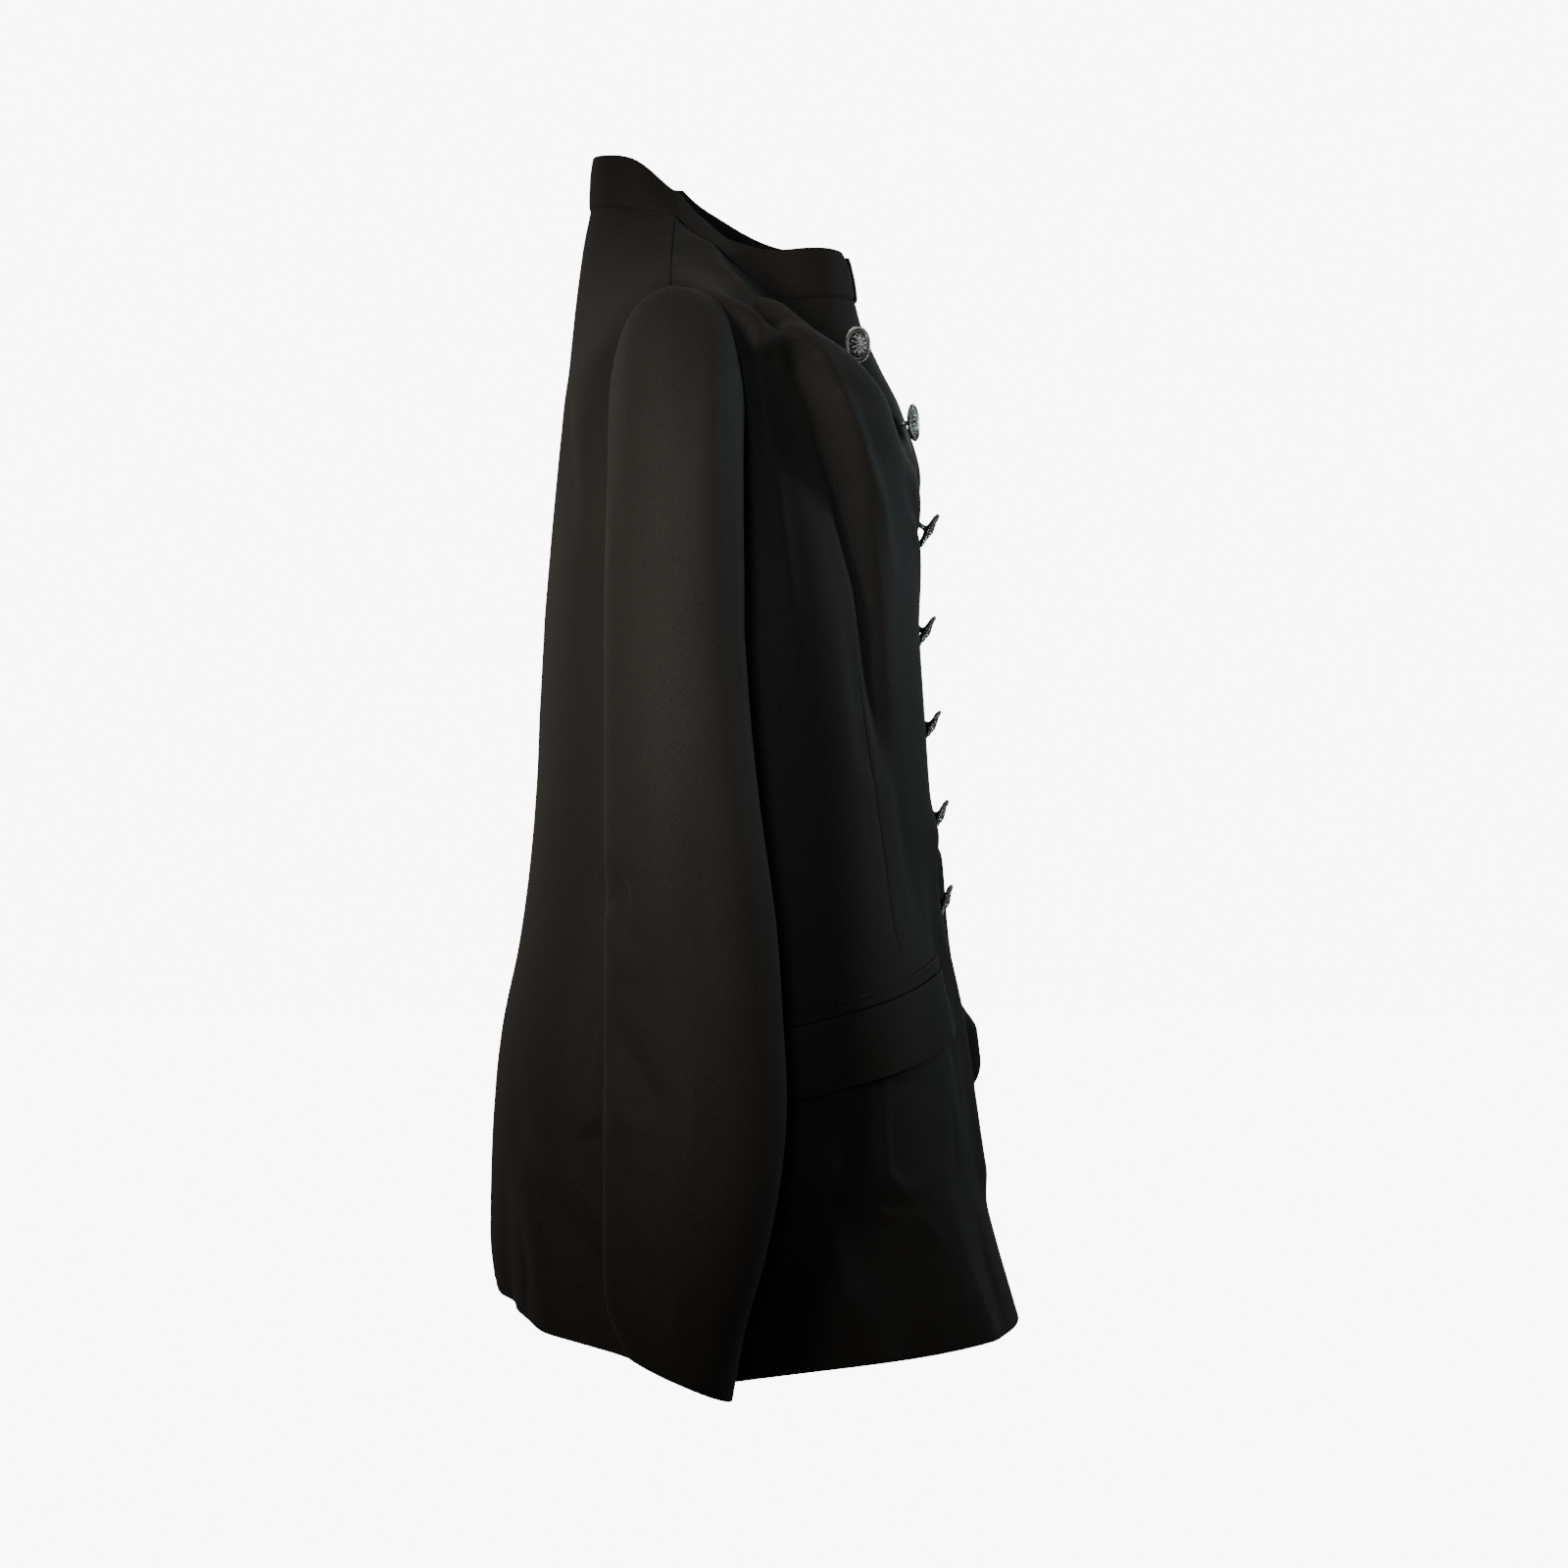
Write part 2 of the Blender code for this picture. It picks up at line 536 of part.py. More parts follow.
def make_collar():
    """The stand collar, from its right end round the back to its left end."""
    end = COLLAR_END_GAP / 2
    right_end = front_angle(EDGE_X_NECK - end, 0.0)
    left_end = front_angle(EDGE_X_NECK + end, 0.0)
    angles = np.linspace(left_end, 2 * math.pi + right_end, COLLAR_COLUMN_COUNT + 1)
    signed = np.where(angles > math.pi, angles - 2 * math.pi, angles)
    turn = np.abs(np.degrees(signed))
    left = signed > 0

    def column(name):
        at_left = smooth_table(COLLAR_ROWS, COLLAR_COLUMNS.index("left_" + name), turn)
        at_right = smooth_table(COLLAR_ROWS, COLLAR_COLUMNS.index("right_" + name), turn)
        return np.where(left, at_left, at_right)

    seam = body(angles, np.zeros(len(angles)), COLLAR_STEP)
    inward = (np.array([0, COLLAR_MIDDLE_Y, 0]) - seam) * np.array([1, 1, 0])
    inward /= np.linalg.norm(inward, axis=1, keepdims=True)
    up = inward * column("lean")[:, None] + np.array([0, 0, 1]) * column("rise")[:, None]
    length = np.linalg.norm(up, axis=1, keepdims=True)
    foot = seam + up / length * COLLAR_SEAM
    run = np.linalg.norm(seam - seam[:1], axis=1)
    to_end = np.minimum(run, run[::-1])
    inset = np.clip(COLLAR_CORNER - to_end, 0, COLLAR_CORNER)
    rounding = COLLAR_CORNER - np.sqrt(COLLAR_CORNER**2 - inset**2)
    rows = []
    for share in np.linspace(0, 1, COLLAR_ROW_COUNT + 1):
        height = np.minimum(share * length[:, 0], length[:, 0] - rounding * share)
        rows.append(foot + up / length * height[:, None])
    surface_object("collar", rows, wool, COLLAR_CLOTH)


def unrolled(side, across, level, lift):
    """Points of a front by their distance round the body from centre front, moved out by lift."""
    fine = np.linspace(0, math.pi / 2, FINE_STEPS)
    angle = np.empty(len(across))
    for i, (run_wanted, height) in enumerate(zip(across, level)):
        points = flat_body(fine, np.full(FINE_STEPS, height))
        run = np.concatenate([[0], np.cumsum(np.linalg.norm(np.diff(points, axis=0), axis=1))])
        angle[i] = np.interp(run_wanted, run, fine)
    return body(side * angle, level, lift)


def flap_strip(side, top, bottom, lift_top, lift_bottom, rows):
    """A strip lying on a front along the pocket, from top to bottom below the pocket's mouth."""
    fine = np.linspace(0, math.radians(FLAP_ANGLE), FINE_STEPS)
    points = flat_body(fine, np.full(FINE_STEPS, FLAP_LEVEL))
    start = np.linalg.norm(np.diff(points, axis=0), axis=1).sum()
    slope = math.radians(FLAP_SLOPE)
    made = []
    for share in np.linspace(0, 1, rows + 1):
        along = np.linspace(0, FLAP_LENGTH, FLAP_COLUMNS + 1)
        below = top + (bottom - top) * share
        across = start + along * math.cos(slope) - below * math.sin(slope)
        level = FLAP_LEVEL - along * math.sin(slope) - below * math.cos(slope)
        lift = lift_top + (lift_bottom - lift_top) * share
        made.append(unrolled(side, across, level, np.full(len(along), lift)))
    return made if side > 0 else [row[::-1] for row in made]


def make_pocket(name, side):
    top = WELT_HEIGHT + SEAM_GAP
    flap = flap_strip(side, top, FLAP_DEPTH, FLAP_LIFT_TOP, FLAP_LIFT_BOTTOM, FLAP_ROW_COUNT)
    welt = flap_strip(side, 0, WELT_HEIGHT, WELT_LIFT, WELT_LIFT, 1)
    surface_object(name + "_flap", flap[::-1], wool, CLOTH)
    surface_object(name + "_welt", welt[::-1], wool, CLOTH)


def button_mesh():
    """A cast button, turned about its own axis: shank at the back, roped rim and a raised boss in front."""
    mesh = bpy.data.meshes.new("button")
    shape = bmesh.new()
    points = [shape.verts.new((radius, 0, height)) for radius, height in BUTTON_PROFILE]
    edges = [shape.edges.new(pair) for pair in zip(points[:-1], points[1:])]
    bmesh.ops.spin(
        shape,
        geom=points + edges,
        cent=(0, 0, 0),
        axis=(0, 0, 1),
        angle=2 * math.pi,
        steps=BUTTON_STEPS,
        use_merge=True,
    )
    bmesh.ops.remove_doubles(shape, verts=shape.verts, dist=MERGE)
    bmesh.ops.recalc_face_normals(shape, faces=shape.faces)
    shape.to_mesh(mesh)
    shape.free()
    mesh.materials.append(silver)
    mesh.shade_smooth()
    return mesh


def make_buttons():
    """Seven buttons sewn to the right front by their shanks, heavy enough to nod forward."""
    mesh = button_mesh()
    levels = np.linspace(HEM_LEVEL, 0, 4 * FINE_STEPS)
    for number, row in enumerate(BUTTON_ROWS, start=1):
        sewn = dict(zip(BUTTON_COLUMNS, row))
        angles = front_angle(edge_x(levels) - sewn["inset"], levels)
        at = int(np.abs(body(angles, levels)[:, 2] - sewn["height"]).argmin())
        foot = body(angles[at : at + 1], levels[at : at + 1], BUTTON_GAP)[0]
        normal = outward(body, angles[at : at + 1], levels[at : at + 1])[0]
        button = bpy.data.objects.new(f"button_{number}", mesh)
        button.rotation_euler = (0, math.radians(90 + sewn["nod"]), math.radians(-90 - sewn["turn"]))
        axis = button.rotation_euler.to_matrix() @ Vector((0, 0, 1))
        tilt = math.acos(min(1.0, axis.dot(normal)))
        button.location = foot + normal * SHANK_RADIUS * math.sin(tilt)
        garment.objects.link(button)


for old in list(bpy.data.objects):
    bpy.data.objects.remove(old)
garment = bpy.data.collections.new("blazer")
bpy.context.scene.collection.children.link(garment)
wool = fabric("black suiting", WOOL, 0.75)
silver = fabric("antique silver", SILVER, 0.32, 1.0)
make_fronts()
make_back()
make_collar()
for name, side in (("right", -1), ("left", 1)):
    make_sleeve(name + "_sleeve", side)
    make_pocket(name, side)
make_buttons()
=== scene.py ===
"""A long black blazer with a stand collar and seven antique silver buttons, hollow and in its worn shape.

The front faces -Y and +X is the wearer's left. All sizes are in metres. Cloth panels are cut from one
body surface, drawn by rings round the wearer: a place on it is given by its angle from centre front and
by its level, the height of its ring at the side seam.
"""

import math

import bmesh
import bpy
import numpy as np
from mathutils import Matrix, Vector, noise


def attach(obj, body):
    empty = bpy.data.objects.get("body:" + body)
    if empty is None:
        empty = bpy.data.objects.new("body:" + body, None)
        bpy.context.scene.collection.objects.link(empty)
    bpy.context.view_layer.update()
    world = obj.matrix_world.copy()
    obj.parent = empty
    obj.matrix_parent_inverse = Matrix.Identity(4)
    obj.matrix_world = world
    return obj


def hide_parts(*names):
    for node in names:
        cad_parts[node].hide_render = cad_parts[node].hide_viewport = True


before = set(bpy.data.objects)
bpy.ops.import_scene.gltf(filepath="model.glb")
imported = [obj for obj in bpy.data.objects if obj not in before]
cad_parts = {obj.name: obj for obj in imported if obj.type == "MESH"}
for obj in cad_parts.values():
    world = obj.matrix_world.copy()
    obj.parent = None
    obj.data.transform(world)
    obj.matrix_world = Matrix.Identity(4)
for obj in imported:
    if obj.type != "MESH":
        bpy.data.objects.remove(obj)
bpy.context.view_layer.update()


def named(columns, rows):
    """The rows of a table as dictionaries, by the names of its columns."""
    return [dict(zip(columns, row)) for row in rows]


class Nodes:
    """Short ways to add nodes to a tree. A value is a number, a colour or another node's output."""

    def __init__(self, tree):
        self.tree = tree

    def fill(self, node, values):
        """Sets or links the named inputs of a node."""
        for label, value in values.items():
            if isinstance(value, bpy.types.NodeSocket):
                self.tree.links.new(value, node.inputs[label])
            else:
                node.inputs[label].default_value = value
        return node

    def add(self, kind, values):
        return self.fill(self.tree.nodes.new(kind), values)

    def math(self, operation, *values, clamp=False):
        node = self.tree.nodes.new("ShaderNodeMath")
        node.operation = operation
        node.use_clamp = clamp
        return self.fill(node, dict(enumerate(values))).outputs["Value"]

    def remap(self, value, low, high, to_low, to_high):
        limits = {"From Min": low, "From Max": high, "To Min": to_low, "To Max": to_high}
        return self.add("ShaderNodeMapRange", {"Value": value, **limits}).outputs["Result"]

    def noise(self, place, scale, detail, roughness):
        values = {"Vector": place, "Scale": scale, "Detail": detail, "Roughness": roughness}
        return self.add("ShaderNodeTexNoise", values).outputs["Fac"]

    def mix(self, factor, first, second, blend="MIX"):
        node = self.tree.nodes.new("ShaderNodeMix")
        node.data_type = "RGBA"
        node.blend_type = blend
        return self.fill(node, {"Factor": factor, "A": first, "B": second}).outputs["Result"]

    def mark(self, name):
        """An attribute kept at the points of a mesh."""
        node = self.tree.nodes.new("ShaderNodeAttribute")
        node.attribute_name = name
        return node.outputs["Fac"]

    def bump(self, height, strength, distance, under=None, sunk=False):
        """A relief over the one that is under it, or a sunk one."""
        node = self.add("ShaderNodeBump", {"Height": height, "Strength": strength, "Distance": distance})
        node.invert = sunk
        return self.fill(node, {} if under is None else {"Normal": under}).outputs["Normal"]


# Studio
# A camera level with the waist on the wearer's right, a pale round floor under pale air, and
# soft lamps: the broad one stands behind the wearer's shoulder, so the front falls into shade.
CAMERA_PLACE = (-2.5, -0.038, -0.350)
CAMERA_LENS = 90.56
CAMERA_SENSOR = 36
FLOOR_LEVEL = -1.30
FLOOR_RADIUS = 14
FLOOR_SIDES = 96
WHITE = (1.0, 1.0, 1.0, 1.0)
PAPER = (0.86, 0.86, 0.85, 1.0)
PAPER_ROUGHNESS = 0.9
PAPER_GLOW = 9.0
AIR_LIGHT = 0.08
LAMP_COLUMNS = ("name", "place", "aim", "size", "power", "spread", "colour")
LAMP_ROWS = (
    ("broad soft lamp", (-1.62, 0.80, 0.12), (-0.2, 0, -0.25), 0.5, 1.36, 32, (1.0, 0.87, 0.75)),
    ("top lamp", (-0.3, 0.6, 1.5), (0, 0, -0.1), 1.0, 0.10, 70, (1.0, 0.96, 0.90)),
    ("front lamp", (1.02, -1.78, 0.22), (0, 0, -0.16), 0.35, 0.80, 44, (0.80, 0.95, 1.0)),
    ("rear lamp", (1.75, 1.55, 0.30), (0.1, 0.1, -0.30), 0.9, 0.30, 50, (1.0, 0.96, 0.91)),
    ("far side lamp", (2.3, -0.7, 0.30), (0.1, 0, -0.30), 0.9, 0.60, 50, (0.95, 0.98, 1.0)),
    ("cool fill lamp", (-2.6, 0.16, 0.06), (-0.15, -0.05, -0.23), 0.25, 0.31, 20, (0.84, 0.96, 1.0)),
)

camera = bpy.data.objects.new("camera", bpy.data.cameras.new("camera"))
camera.location = CAMERA_PLACE
camera.rotation_euler = (math.pi / 2, 0, -math.pi / 2)
camera.data.lens = CAMERA_LENS
camera.data.sensor_width = CAMERA_SENSOR
bpy.context.scene.collection.objects.link(camera)
bpy.context.scene.camera = camera

for row in named(LAMP_COLUMNS, LAMP_ROWS):
    lamp = bpy.data.lights.new(row["name"], "AREA")
    lamp.shape = "DISK"
    lamp.size = row["size"]
    lamp.energy = row["power"]
    lamp.spread = math.radians(row["spread"])
    lamp.color = row["colour"]
    holder = bpy.data.objects.new(row["name"], lamp)
    holder.location = row["place"]
    ahead = Vector(row["aim"]) - Vector(row["place"])
    holder.rotation_euler = ahead.to_track_quat("-Z", "Y").to_euler()
    bpy.context.scene.collection.objects.link(holder)

world = bpy.data.worlds.new("studio air")
world.use_nodes = True
air = Nodes(world.node_tree)
seen = air.add("ShaderNodeLightPath", {}).outputs["Is Camera Ray"]
glow = air.remap(seen, 0, 1, AIR_LIGHT, PAPER_GLOW)
air.fill(world.node_tree.nodes["Background"], {"Color": WHITE, "Strength": glow})
bpy.context.scene.world = world

paper = bpy.data.materials.new("white paper")
paper.use_nodes = True
lit = Nodes(paper.node_tree)
seen = lit.add("ShaderNodeLightPath", {}).outputs["Is Camera Ray"]
paper_shader = lit.fill(
    paper.node_tree.nodes["Principled BSDF"],
    {"Base Color": PAPER, "Roughness": PAPER_ROUGHNESS, "Emission Color": WHITE},
)
lit.fill(paper_shader, {"Emission Strength": lit.math("MULTIPLY", seen, PAPER_GLOW)})

sweep = bmesh.new()
bmesh.ops.create_circle(sweep, cap_ends=True, segments=FLOOR_SIDES, radius=FLOOR_RADIUS)
bmesh.ops.translate(sweep, verts=sweep.verts, vec=(0, 0, FLOOR_LEVEL))
floor_mesh = bpy.data.meshes.new("floor")
sweep.to_mesh(floor_mesh)
sweep.free()
floor_mesh.materials.append(paper)
floor = bpy.data.objects.new("floor", floor_mesh)
bpy.context.scene.collection.objects.link(floor)

# Back panel
# One panel of plain woven black suiting from side seam to side seam. Its hem is turned up and blind
# stitched, and its upper edges are eased into the armholes, the shoulder seams and the collar.
CLOTH = 0.0016
SEAM_GAP = 0.0006
LAYER_GAP = 0.0008
TURNED_EDGE = 0.0005
TURNED_ANGLE = 50
MERGE_DISTANCE = 0.00002
HEM_LEVEL = -0.695
UNDERARM_LEVEL = -0.250
SHOULDER_LEVEL = -0.062
SKIRT_ROWS = 140
ARMHOLE_ROWS = 50
YOKE_ROWS = 40
BACK_COLUMNS = 150
PLAIN_SHARE = 0.55
FINE_STEPS = 160
TURN_STEP = 0.004
LEVEL_STEP = 0.0008
ARMHOLE_FRONT = 0.041
ARMHOLE_BACK = 0.036
ARMHOLE_LOW_ROUNDNESS = 0.42
ARMHOLE_HIGH_ROUNDNESS = 0.27
RING_COLUMNS = ("level", "front_z", "back_z", "half_width", "front_y", "back_y", "side_y", "swell", "bow")
RINGS = (
    (-0.695, -0.685, -0.661, 0.225, -0.1860, 0.1425, -0.010, 0.04, 0.9),
    (-0.650, -0.646, -0.638, 0.220, -0.1745, 0.1450, -0.008, 0.04, 0.6),
    (-0.600, -0.599, -0.596, 0.215, -0.1625, 0.1450, -0.006, 0.05, 0.3),
    (-0.550, -0.550, -0.550, 0.209, -0.1548, 0.1436, -0.003, 0.06, 0.0),
    (-0.500, -0.500, -0.500, 0.203, -0.1478, 0.1395, 0.000, 0.06, 0.0),
    (-0.450, -0.450, -0.450, 0.197, -0.1385, 0.1292, 0.005, 0.06, 0.0),
    (-0.400, -0.400, -0.400, 0.191, -0.1315, 0.1217, 0.010, 0.06, 0.0),
    (-0.350, -0.350, -0.350, 0.188, -0.1278, 0.1170, 0.015, 0.07, 0.0),
    (-0.300, -0.300, -0.300, 0.190, -0.1243, 0.1148, 0.020, 0.08, 0.0),
    (-0.250, -0.252, -0.250, 0.192, -0.1218, 0.1122, 0.025, 0.08, 0.0),
    (-0.200, -0.208, -0.204, 0.189, -0.1225, 0.1086, 0.028, 0.07, 0.0),
    (-0.150, -0.175, -0.166, 0.187, -0.1249, 0.1053, 0.028, 0.06, 0.0),
    (-0.100, -0.145, -0.130, 0.193, -0.1245, 0.1018, 0.028, 0.05, 0.0),
    (-0.062, -0.115, -0.098, 0.203, -0.1128, 0.0982, 0.028, 0.02, 0.1),
    (-0.031, -0.085, -0.042, 0.137, -0.0975, 0.0930, 0.029, -0.03, 0.6),
    (-0.012, -0.062, -0.006, 0.096, -0.0880, 0.0880, 0.029, -0.04, 0.9),
    (0.000, -0.0456, 0.012, 0.070, -0.0836, 0.0842, 0.029, 0.00, 1.0),
)
NECK_BOW = 2.6
BACK_BOW = 1.2

# Folds: how far each stands out (or sinks in) at its first place and at its last, its half width, and the
# (angle in degrees, level) places that it runs through.
FOLD_COLUMNS = ("start", "end", "width", "places")
FOLDS = (
    # Right front, from the neck down past the arm
    (0.0070, 0.0, 0.016, ((-80, -0.008), (-70, -0.040), (-68, -0.120), (-65, -0.200), (-62, -0.360))),
    (-0.0100, 0.0, 0.018, ((-66, -0.050), (-61, -0.122), (-52, -0.190), (-46, -0.265), (-42, -0.400))),
    (0.0055, 0.0, 0.015, ((-61, -0.040), (-61, -0.077), (-54, -0.125), (-46, -0.170), (-38, -0.240))),
    (-0.0050, -0.0020, 0.016, ((-74, -0.140), (-75, -0.210), (-74, -0.290), (-71, -0.400))),
    (-0.0150, -0.0150, 0.028, ((-48, -0.012), (-38, -0.030), (-28, -0.052), (-22, -0.080))),
    (0.0030, 0.0030, 0.020, ((-50, -0.095), (-30, -0.098))),
    # Both sides of the chest stand out and leave a hollow where the fronts are buttoned
    (0.0050, 0.0050, 0.032, ((-19, -0.130), (-20, -0.200), (-20, -0.300), (-18, -0.370))),
    (0.0040, 0.0040, 0.032, ((21, -0.130), (21, -0.200), (21, -0.300), (20, -0.400))),
    (-0.0080, -0.0080, 0.030, ((-9, -0.115), (-8, -0.160), (-6, -0.300), (-5, -0.420))),
    # Left front, its own fall of the same folds
    (0.0065, 0.0, 0.017, ((79, -0.010), (72, -0.034), (69, -0.100), (66, -0.200), (64, -0.340))),
    (-0.0090, 0.0, 0.019, ((66, -0.048), (61, -0.115), (54, -0.170), (48, -0.250), (44, -0.380))),
    (0.0050, 0.0, 0.016, ((60, -0.045), (58, -0.085), (52, -0.130), (45, -0.190))),
    (-0.0050, -0.0050, 0.026, ((48, -0.014), (40, -0.035))),
    (-0.0045, -0.0015, 0.016, ((74, -0.150), (75, -0.230), (73, -0.330))),
    # Fronts below the buttons: the edge of each fold, and the swing of the free left edge
    (0.0050, 0.0050, 0.017, ((-17, -0.385), (-15, -0.450), (-12, -0.520), (-9, -0.590))),
    (0.0085, 0.0085, 0.018, ((12, -0.400), (15, -0.450), (17, -0.500), (18, -0.530))),
    (0.0100, 0.0100, 0.014, ((15, -0.512), (17, -0.540))),
    # Skirt at the right side
    (-0.0045, -0.0025, 0.022, ((-62, -0.530), (-64, -0.570), (-66, -0.610))),
    (0.0055, 0.0065, 0.018, ((-73, -0.580), (-71, -0.610), (-70, -0.650))),
    (0.0040, 0.0010, 0.018, ((-67, -0.570), (-54, -0.591))),
    (0.0040, 0.0070, 0.024, ((-40, -0.600), (-36, -0.695))),
    (-0.0025, -0.0050, 0.022, ((-55, -0.640), (-54, -0.695))),
    # Skirt at the left side
    (0.0035, 0.0070, 0.021, ((70, -0.560), (68, -0.620), (69, -0.695))),
    (-0.0030, -0.0060, 0.022, ((57, -0.570), (55, -0.640), (56, -0.695))),
    (0.0035, 0.0065, 0.024, ((41, -0.590), (38, -0.695))),
    # Back, right half
    (-0.0060, -0.0030, 0.017, ((-125, -0.130), (-123, -0.190), (-121, -0.250))),
    (-0.0035, -0.0060, 0.021, ((-120, -0.420), (-122, -0.510), (-121, -0.560))),
    (-0.0030, -0.0055, 0.018, ((-144, -0.560), (-131, -0.607), (-122, -0.635), (-115, -0.680))),
    (0.0030, 0.0065, 0.022, ((-137, -0.590), (-133, -0.695))),
    (-0.0020, -0.0045, 0.018, ((-152, -0.610), (-154, -0.695))),
    (0.0020, 0.0055, 0.018, ((-106, -0.560), (-107, -0.695))),
    # Back, left half
    (-0.0055, -0.0030, 0.017, ((124, -0.140), (122, -0.210), (123, -0.270))),
    (-0.0035, -0.0060, 0.022, ((122, -0.430), (121, -0.550))),
    (0.0030, 0.0060, 0.022, ((140, -0.580), (138, -0.695))),
    (-0.0020, -0.0050, 0.020, ((150, -0.600), (156, -0.695))),
    (0.0020, 0.0055, 0.019, ((107, -0.570), (106, -0.695))),
    # Back, middle
    (0.0015, 0.0040, 0.030, ((178, -0.540), (176, -0.695))),
)

# Creases that come and go along their length
CREASE_COLUMNS = ("height", "width", "places")
CREASE_POWER = 0.8
CREASES = (
    # Right front: drag lines from the neck, tension at the top buttons, and the print of the pocket bag
    (-0.0022, 0.006, ((-30, -0.138), (-25, -0.167), (-18, -0.190), (-14, -0.215))),
    (-0.0018, 0.006, ((-26, -0.110), (-19, -0.130), (-6, -0.134))),
    (0.0016, 0.006, ((-27, -0.168), (-21, -0.196), (-17, -0.232), (-15, -0.262))),
    (0.0014, 0.008, ((-50, -0.088), (-41, -0.085), (-28, -0.086))),
    (-0.0012, 0.005, ((-16, -0.176), (-9, -0.186))),
    (-0.0012, 0.005, ((-17, -0.240), (-10, -0.250))),
    (-0.0010, 0.005, ((-16, -0.300), (-10, -0.309))),
    (0.0024, 0.0045, ((-52, -0.520), (-54, -0.552), (-55, -0.579), (-51, -0.590), (-45, -0.586))),
    (-0.0020, 0.006, ((-55.5, -0.525), (-58, -0.560), (-58.5, -0.585))),
    (-0.0024, 0.0045, ((-66, -0.566), (-60, -0.582), (-54, -0.598), (-46, -0.604))),
    (-0.0016, 0.006, ((-70, -0.586), (-62, -0.602), (-50, -0.618))),
    (0.0012, 0.005, ((-51, -0.597), (-46, -0.612), (-42, -0.630))),
    (-0.0012, 0.006, ((-30, -0.540), (-31, -0.580), (-36, -0.592), (-44, -0.594))),
    (-0.0026, 0.008, ((-49, -0.250), (-48, -0.300), (-46.5, -0.350))),
    (-0.0020, 0.012, ((-43.5, -0.262), (-40, -0.320), (-34, -0.395), (-30, -0.440))),
    (-0.0120, 0.0095, (
        (-74, -0.018), (-64, -0.064), (-57, -0.110), (-49, -0.170),
        (-43, -0.230), (-42, -0.285), (-41, -0.350),
    )),
    (0.0064, 0.0070, (
        (-78, -0.014), (-72, -0.036), (-71, -0.085), (-70, -0.127), (-67, -0.190), (-64, -0.300),
    )),
    (0.0040, 0.007, ((-60, -0.046), (-55, -0.085), (-48, -0.128), (-40, -0.170), (-34, -0.225))),
    (-0.0022, 0.009, ((-19, -0.400), (-22, -0.440), (-24, -0.500), (-24, -0.560))),
    (0.0012, 0.008, ((-53, -0.682), (-44, -0.668), (-33, -0.653))),
    (-0.0014, 0.010, ((-26, -0.610), (-24, -0.660), (-25, -0.694))),
    (0.0011, 0.009, ((-44, -0.300), (-39, -0.360), (-37, -0.420))),
    # Left front
    (-0.0014, 0.007, ((32, -0.132), (26, -0.160), (17, -0.188))),
    (-0.0013, 0.006, ((18, -0.240), (8, -0.252))),
    (0.0014, 0.009, ((48, -0.090), (38, -0.086), (26, -0.090))),
    (-0.0015, 0.009, ((40, -0.300), (36, -0.350), (35, -0.410))),
    (0.0013, 0.008, ((60, -0.560), (50, -0.590), (44, -0.630))),
    (-0.0012, 0.009, ((28, -0.600), (26, -0.650), (27, -0.694))),
    # Back: yoke drag lines, the pull at the waist and the breaks above the hem
    (-0.0014, 0.011, ((-150, -0.095), (-138, -0.150), (-132, -0.215))),
    (0.0013, 0.012, ((-160, -0.060), (-152, -0.120), (-149, -0.190))),
    (-0.0013, 0.011, ((151, -0.090), (140, -0.155), (134, -0.220))),
    (0.0013, 0.012, ((163, -0.065), (155, -0.125), (150, -0.200))),
    (-0.0013, 0.013, ((-165, -0.250), (-160, -0.320), (-163, -0.390))),
    (-0.0014, 0.012, ((168, -0.270), (163, -0.330), (166, -0.400))),
    (0.0013, 0.010, ((-112, -0.300), (-114, -0.360), (-113, -0.430))),
    (-0.0075, 0.010, ((-116, -0.448), (-119, -0.467), (-122, -0.494), (-123.5, -0.523), (-120, -0.542))),
    (-0.0060, 0.008, ((-117, -0.550), (-122, -0.558), (-127, -0.568))),
    (-0.0014, 0.009, ((-108, -0.400), (-111, -0.460), (-109, -0.520))),
    (0.0013, 0.010, ((112, -0.310), (115, -0.380), (113, -0.450))),
    (-0.0013, 0.009, ((108, -0.410), (111, -0.480), (108, -0.540))),
    (-0.0050, 0.009, ((-141, -0.578), (-130, -0.607), (-122, -0.629), (-116, -0.664))),
    (-0.0018, 0.007, ((-143, -0.622), (-140, -0.650), (-142, -0.690))),
    (0.0040, 0.009, ((-133, -0.564), (-125, -0.588), (-117, -0.612), (-112, -0.640))),
    (0.0014, 0.007, ((-137, -0.640), (-131, -0.665), (-128, -0.692))),
    (-0.0014, 0.010, ((165, -0.600), (167, -0.650), (165, -0.694))),
    (0.0012, 0.009, ((128, -0.620), (125, -0.694))),
)

# Seams of the bust darts, in the same kind of places
DART_LINES = (
    ((-46.5, -0.281), (-45.5, -0.328), (-44.0, -0.373), (-43.0, -0.401), (-43.0, -0.435), (-42.0, -0.452)),
    ((46.5, -0.281), (45.5, -0.328), (44.0, -0.373), (43.0, -0.401), (43.0, -0.435), (42.0, -0.452)),
)
DART_HALF_WIDTH = 0.0013
DART_DEPTH = 0.0005
DART_SINK = 0.0034
DART_ZONE = 0.03
DART_FADE = 0.008
DART_TAPER = 0.12
DART_END_SHARE = 0.35

# Ripples of the cloth: soft unevenness everywhere, and puckers beside the stitched seams
DRIFT_SIZE = 0.085
DRIFT_HEIGHT = 0.0009
DRIFT_STRETCH = (1, 1, 0.55)
BODY_DRIFT_SEED = 1.0
BODY_PUCKER_SEED = 6.0
PUCKER_SIZE = 0.0075
PUCKER_HEIGHT = 0.00055
PUCKER_REACH = 0.011
HEM_TURN = 0.034
HEM_RIDGE = 0.00018
HEM_SOFTNESS = 0.0012


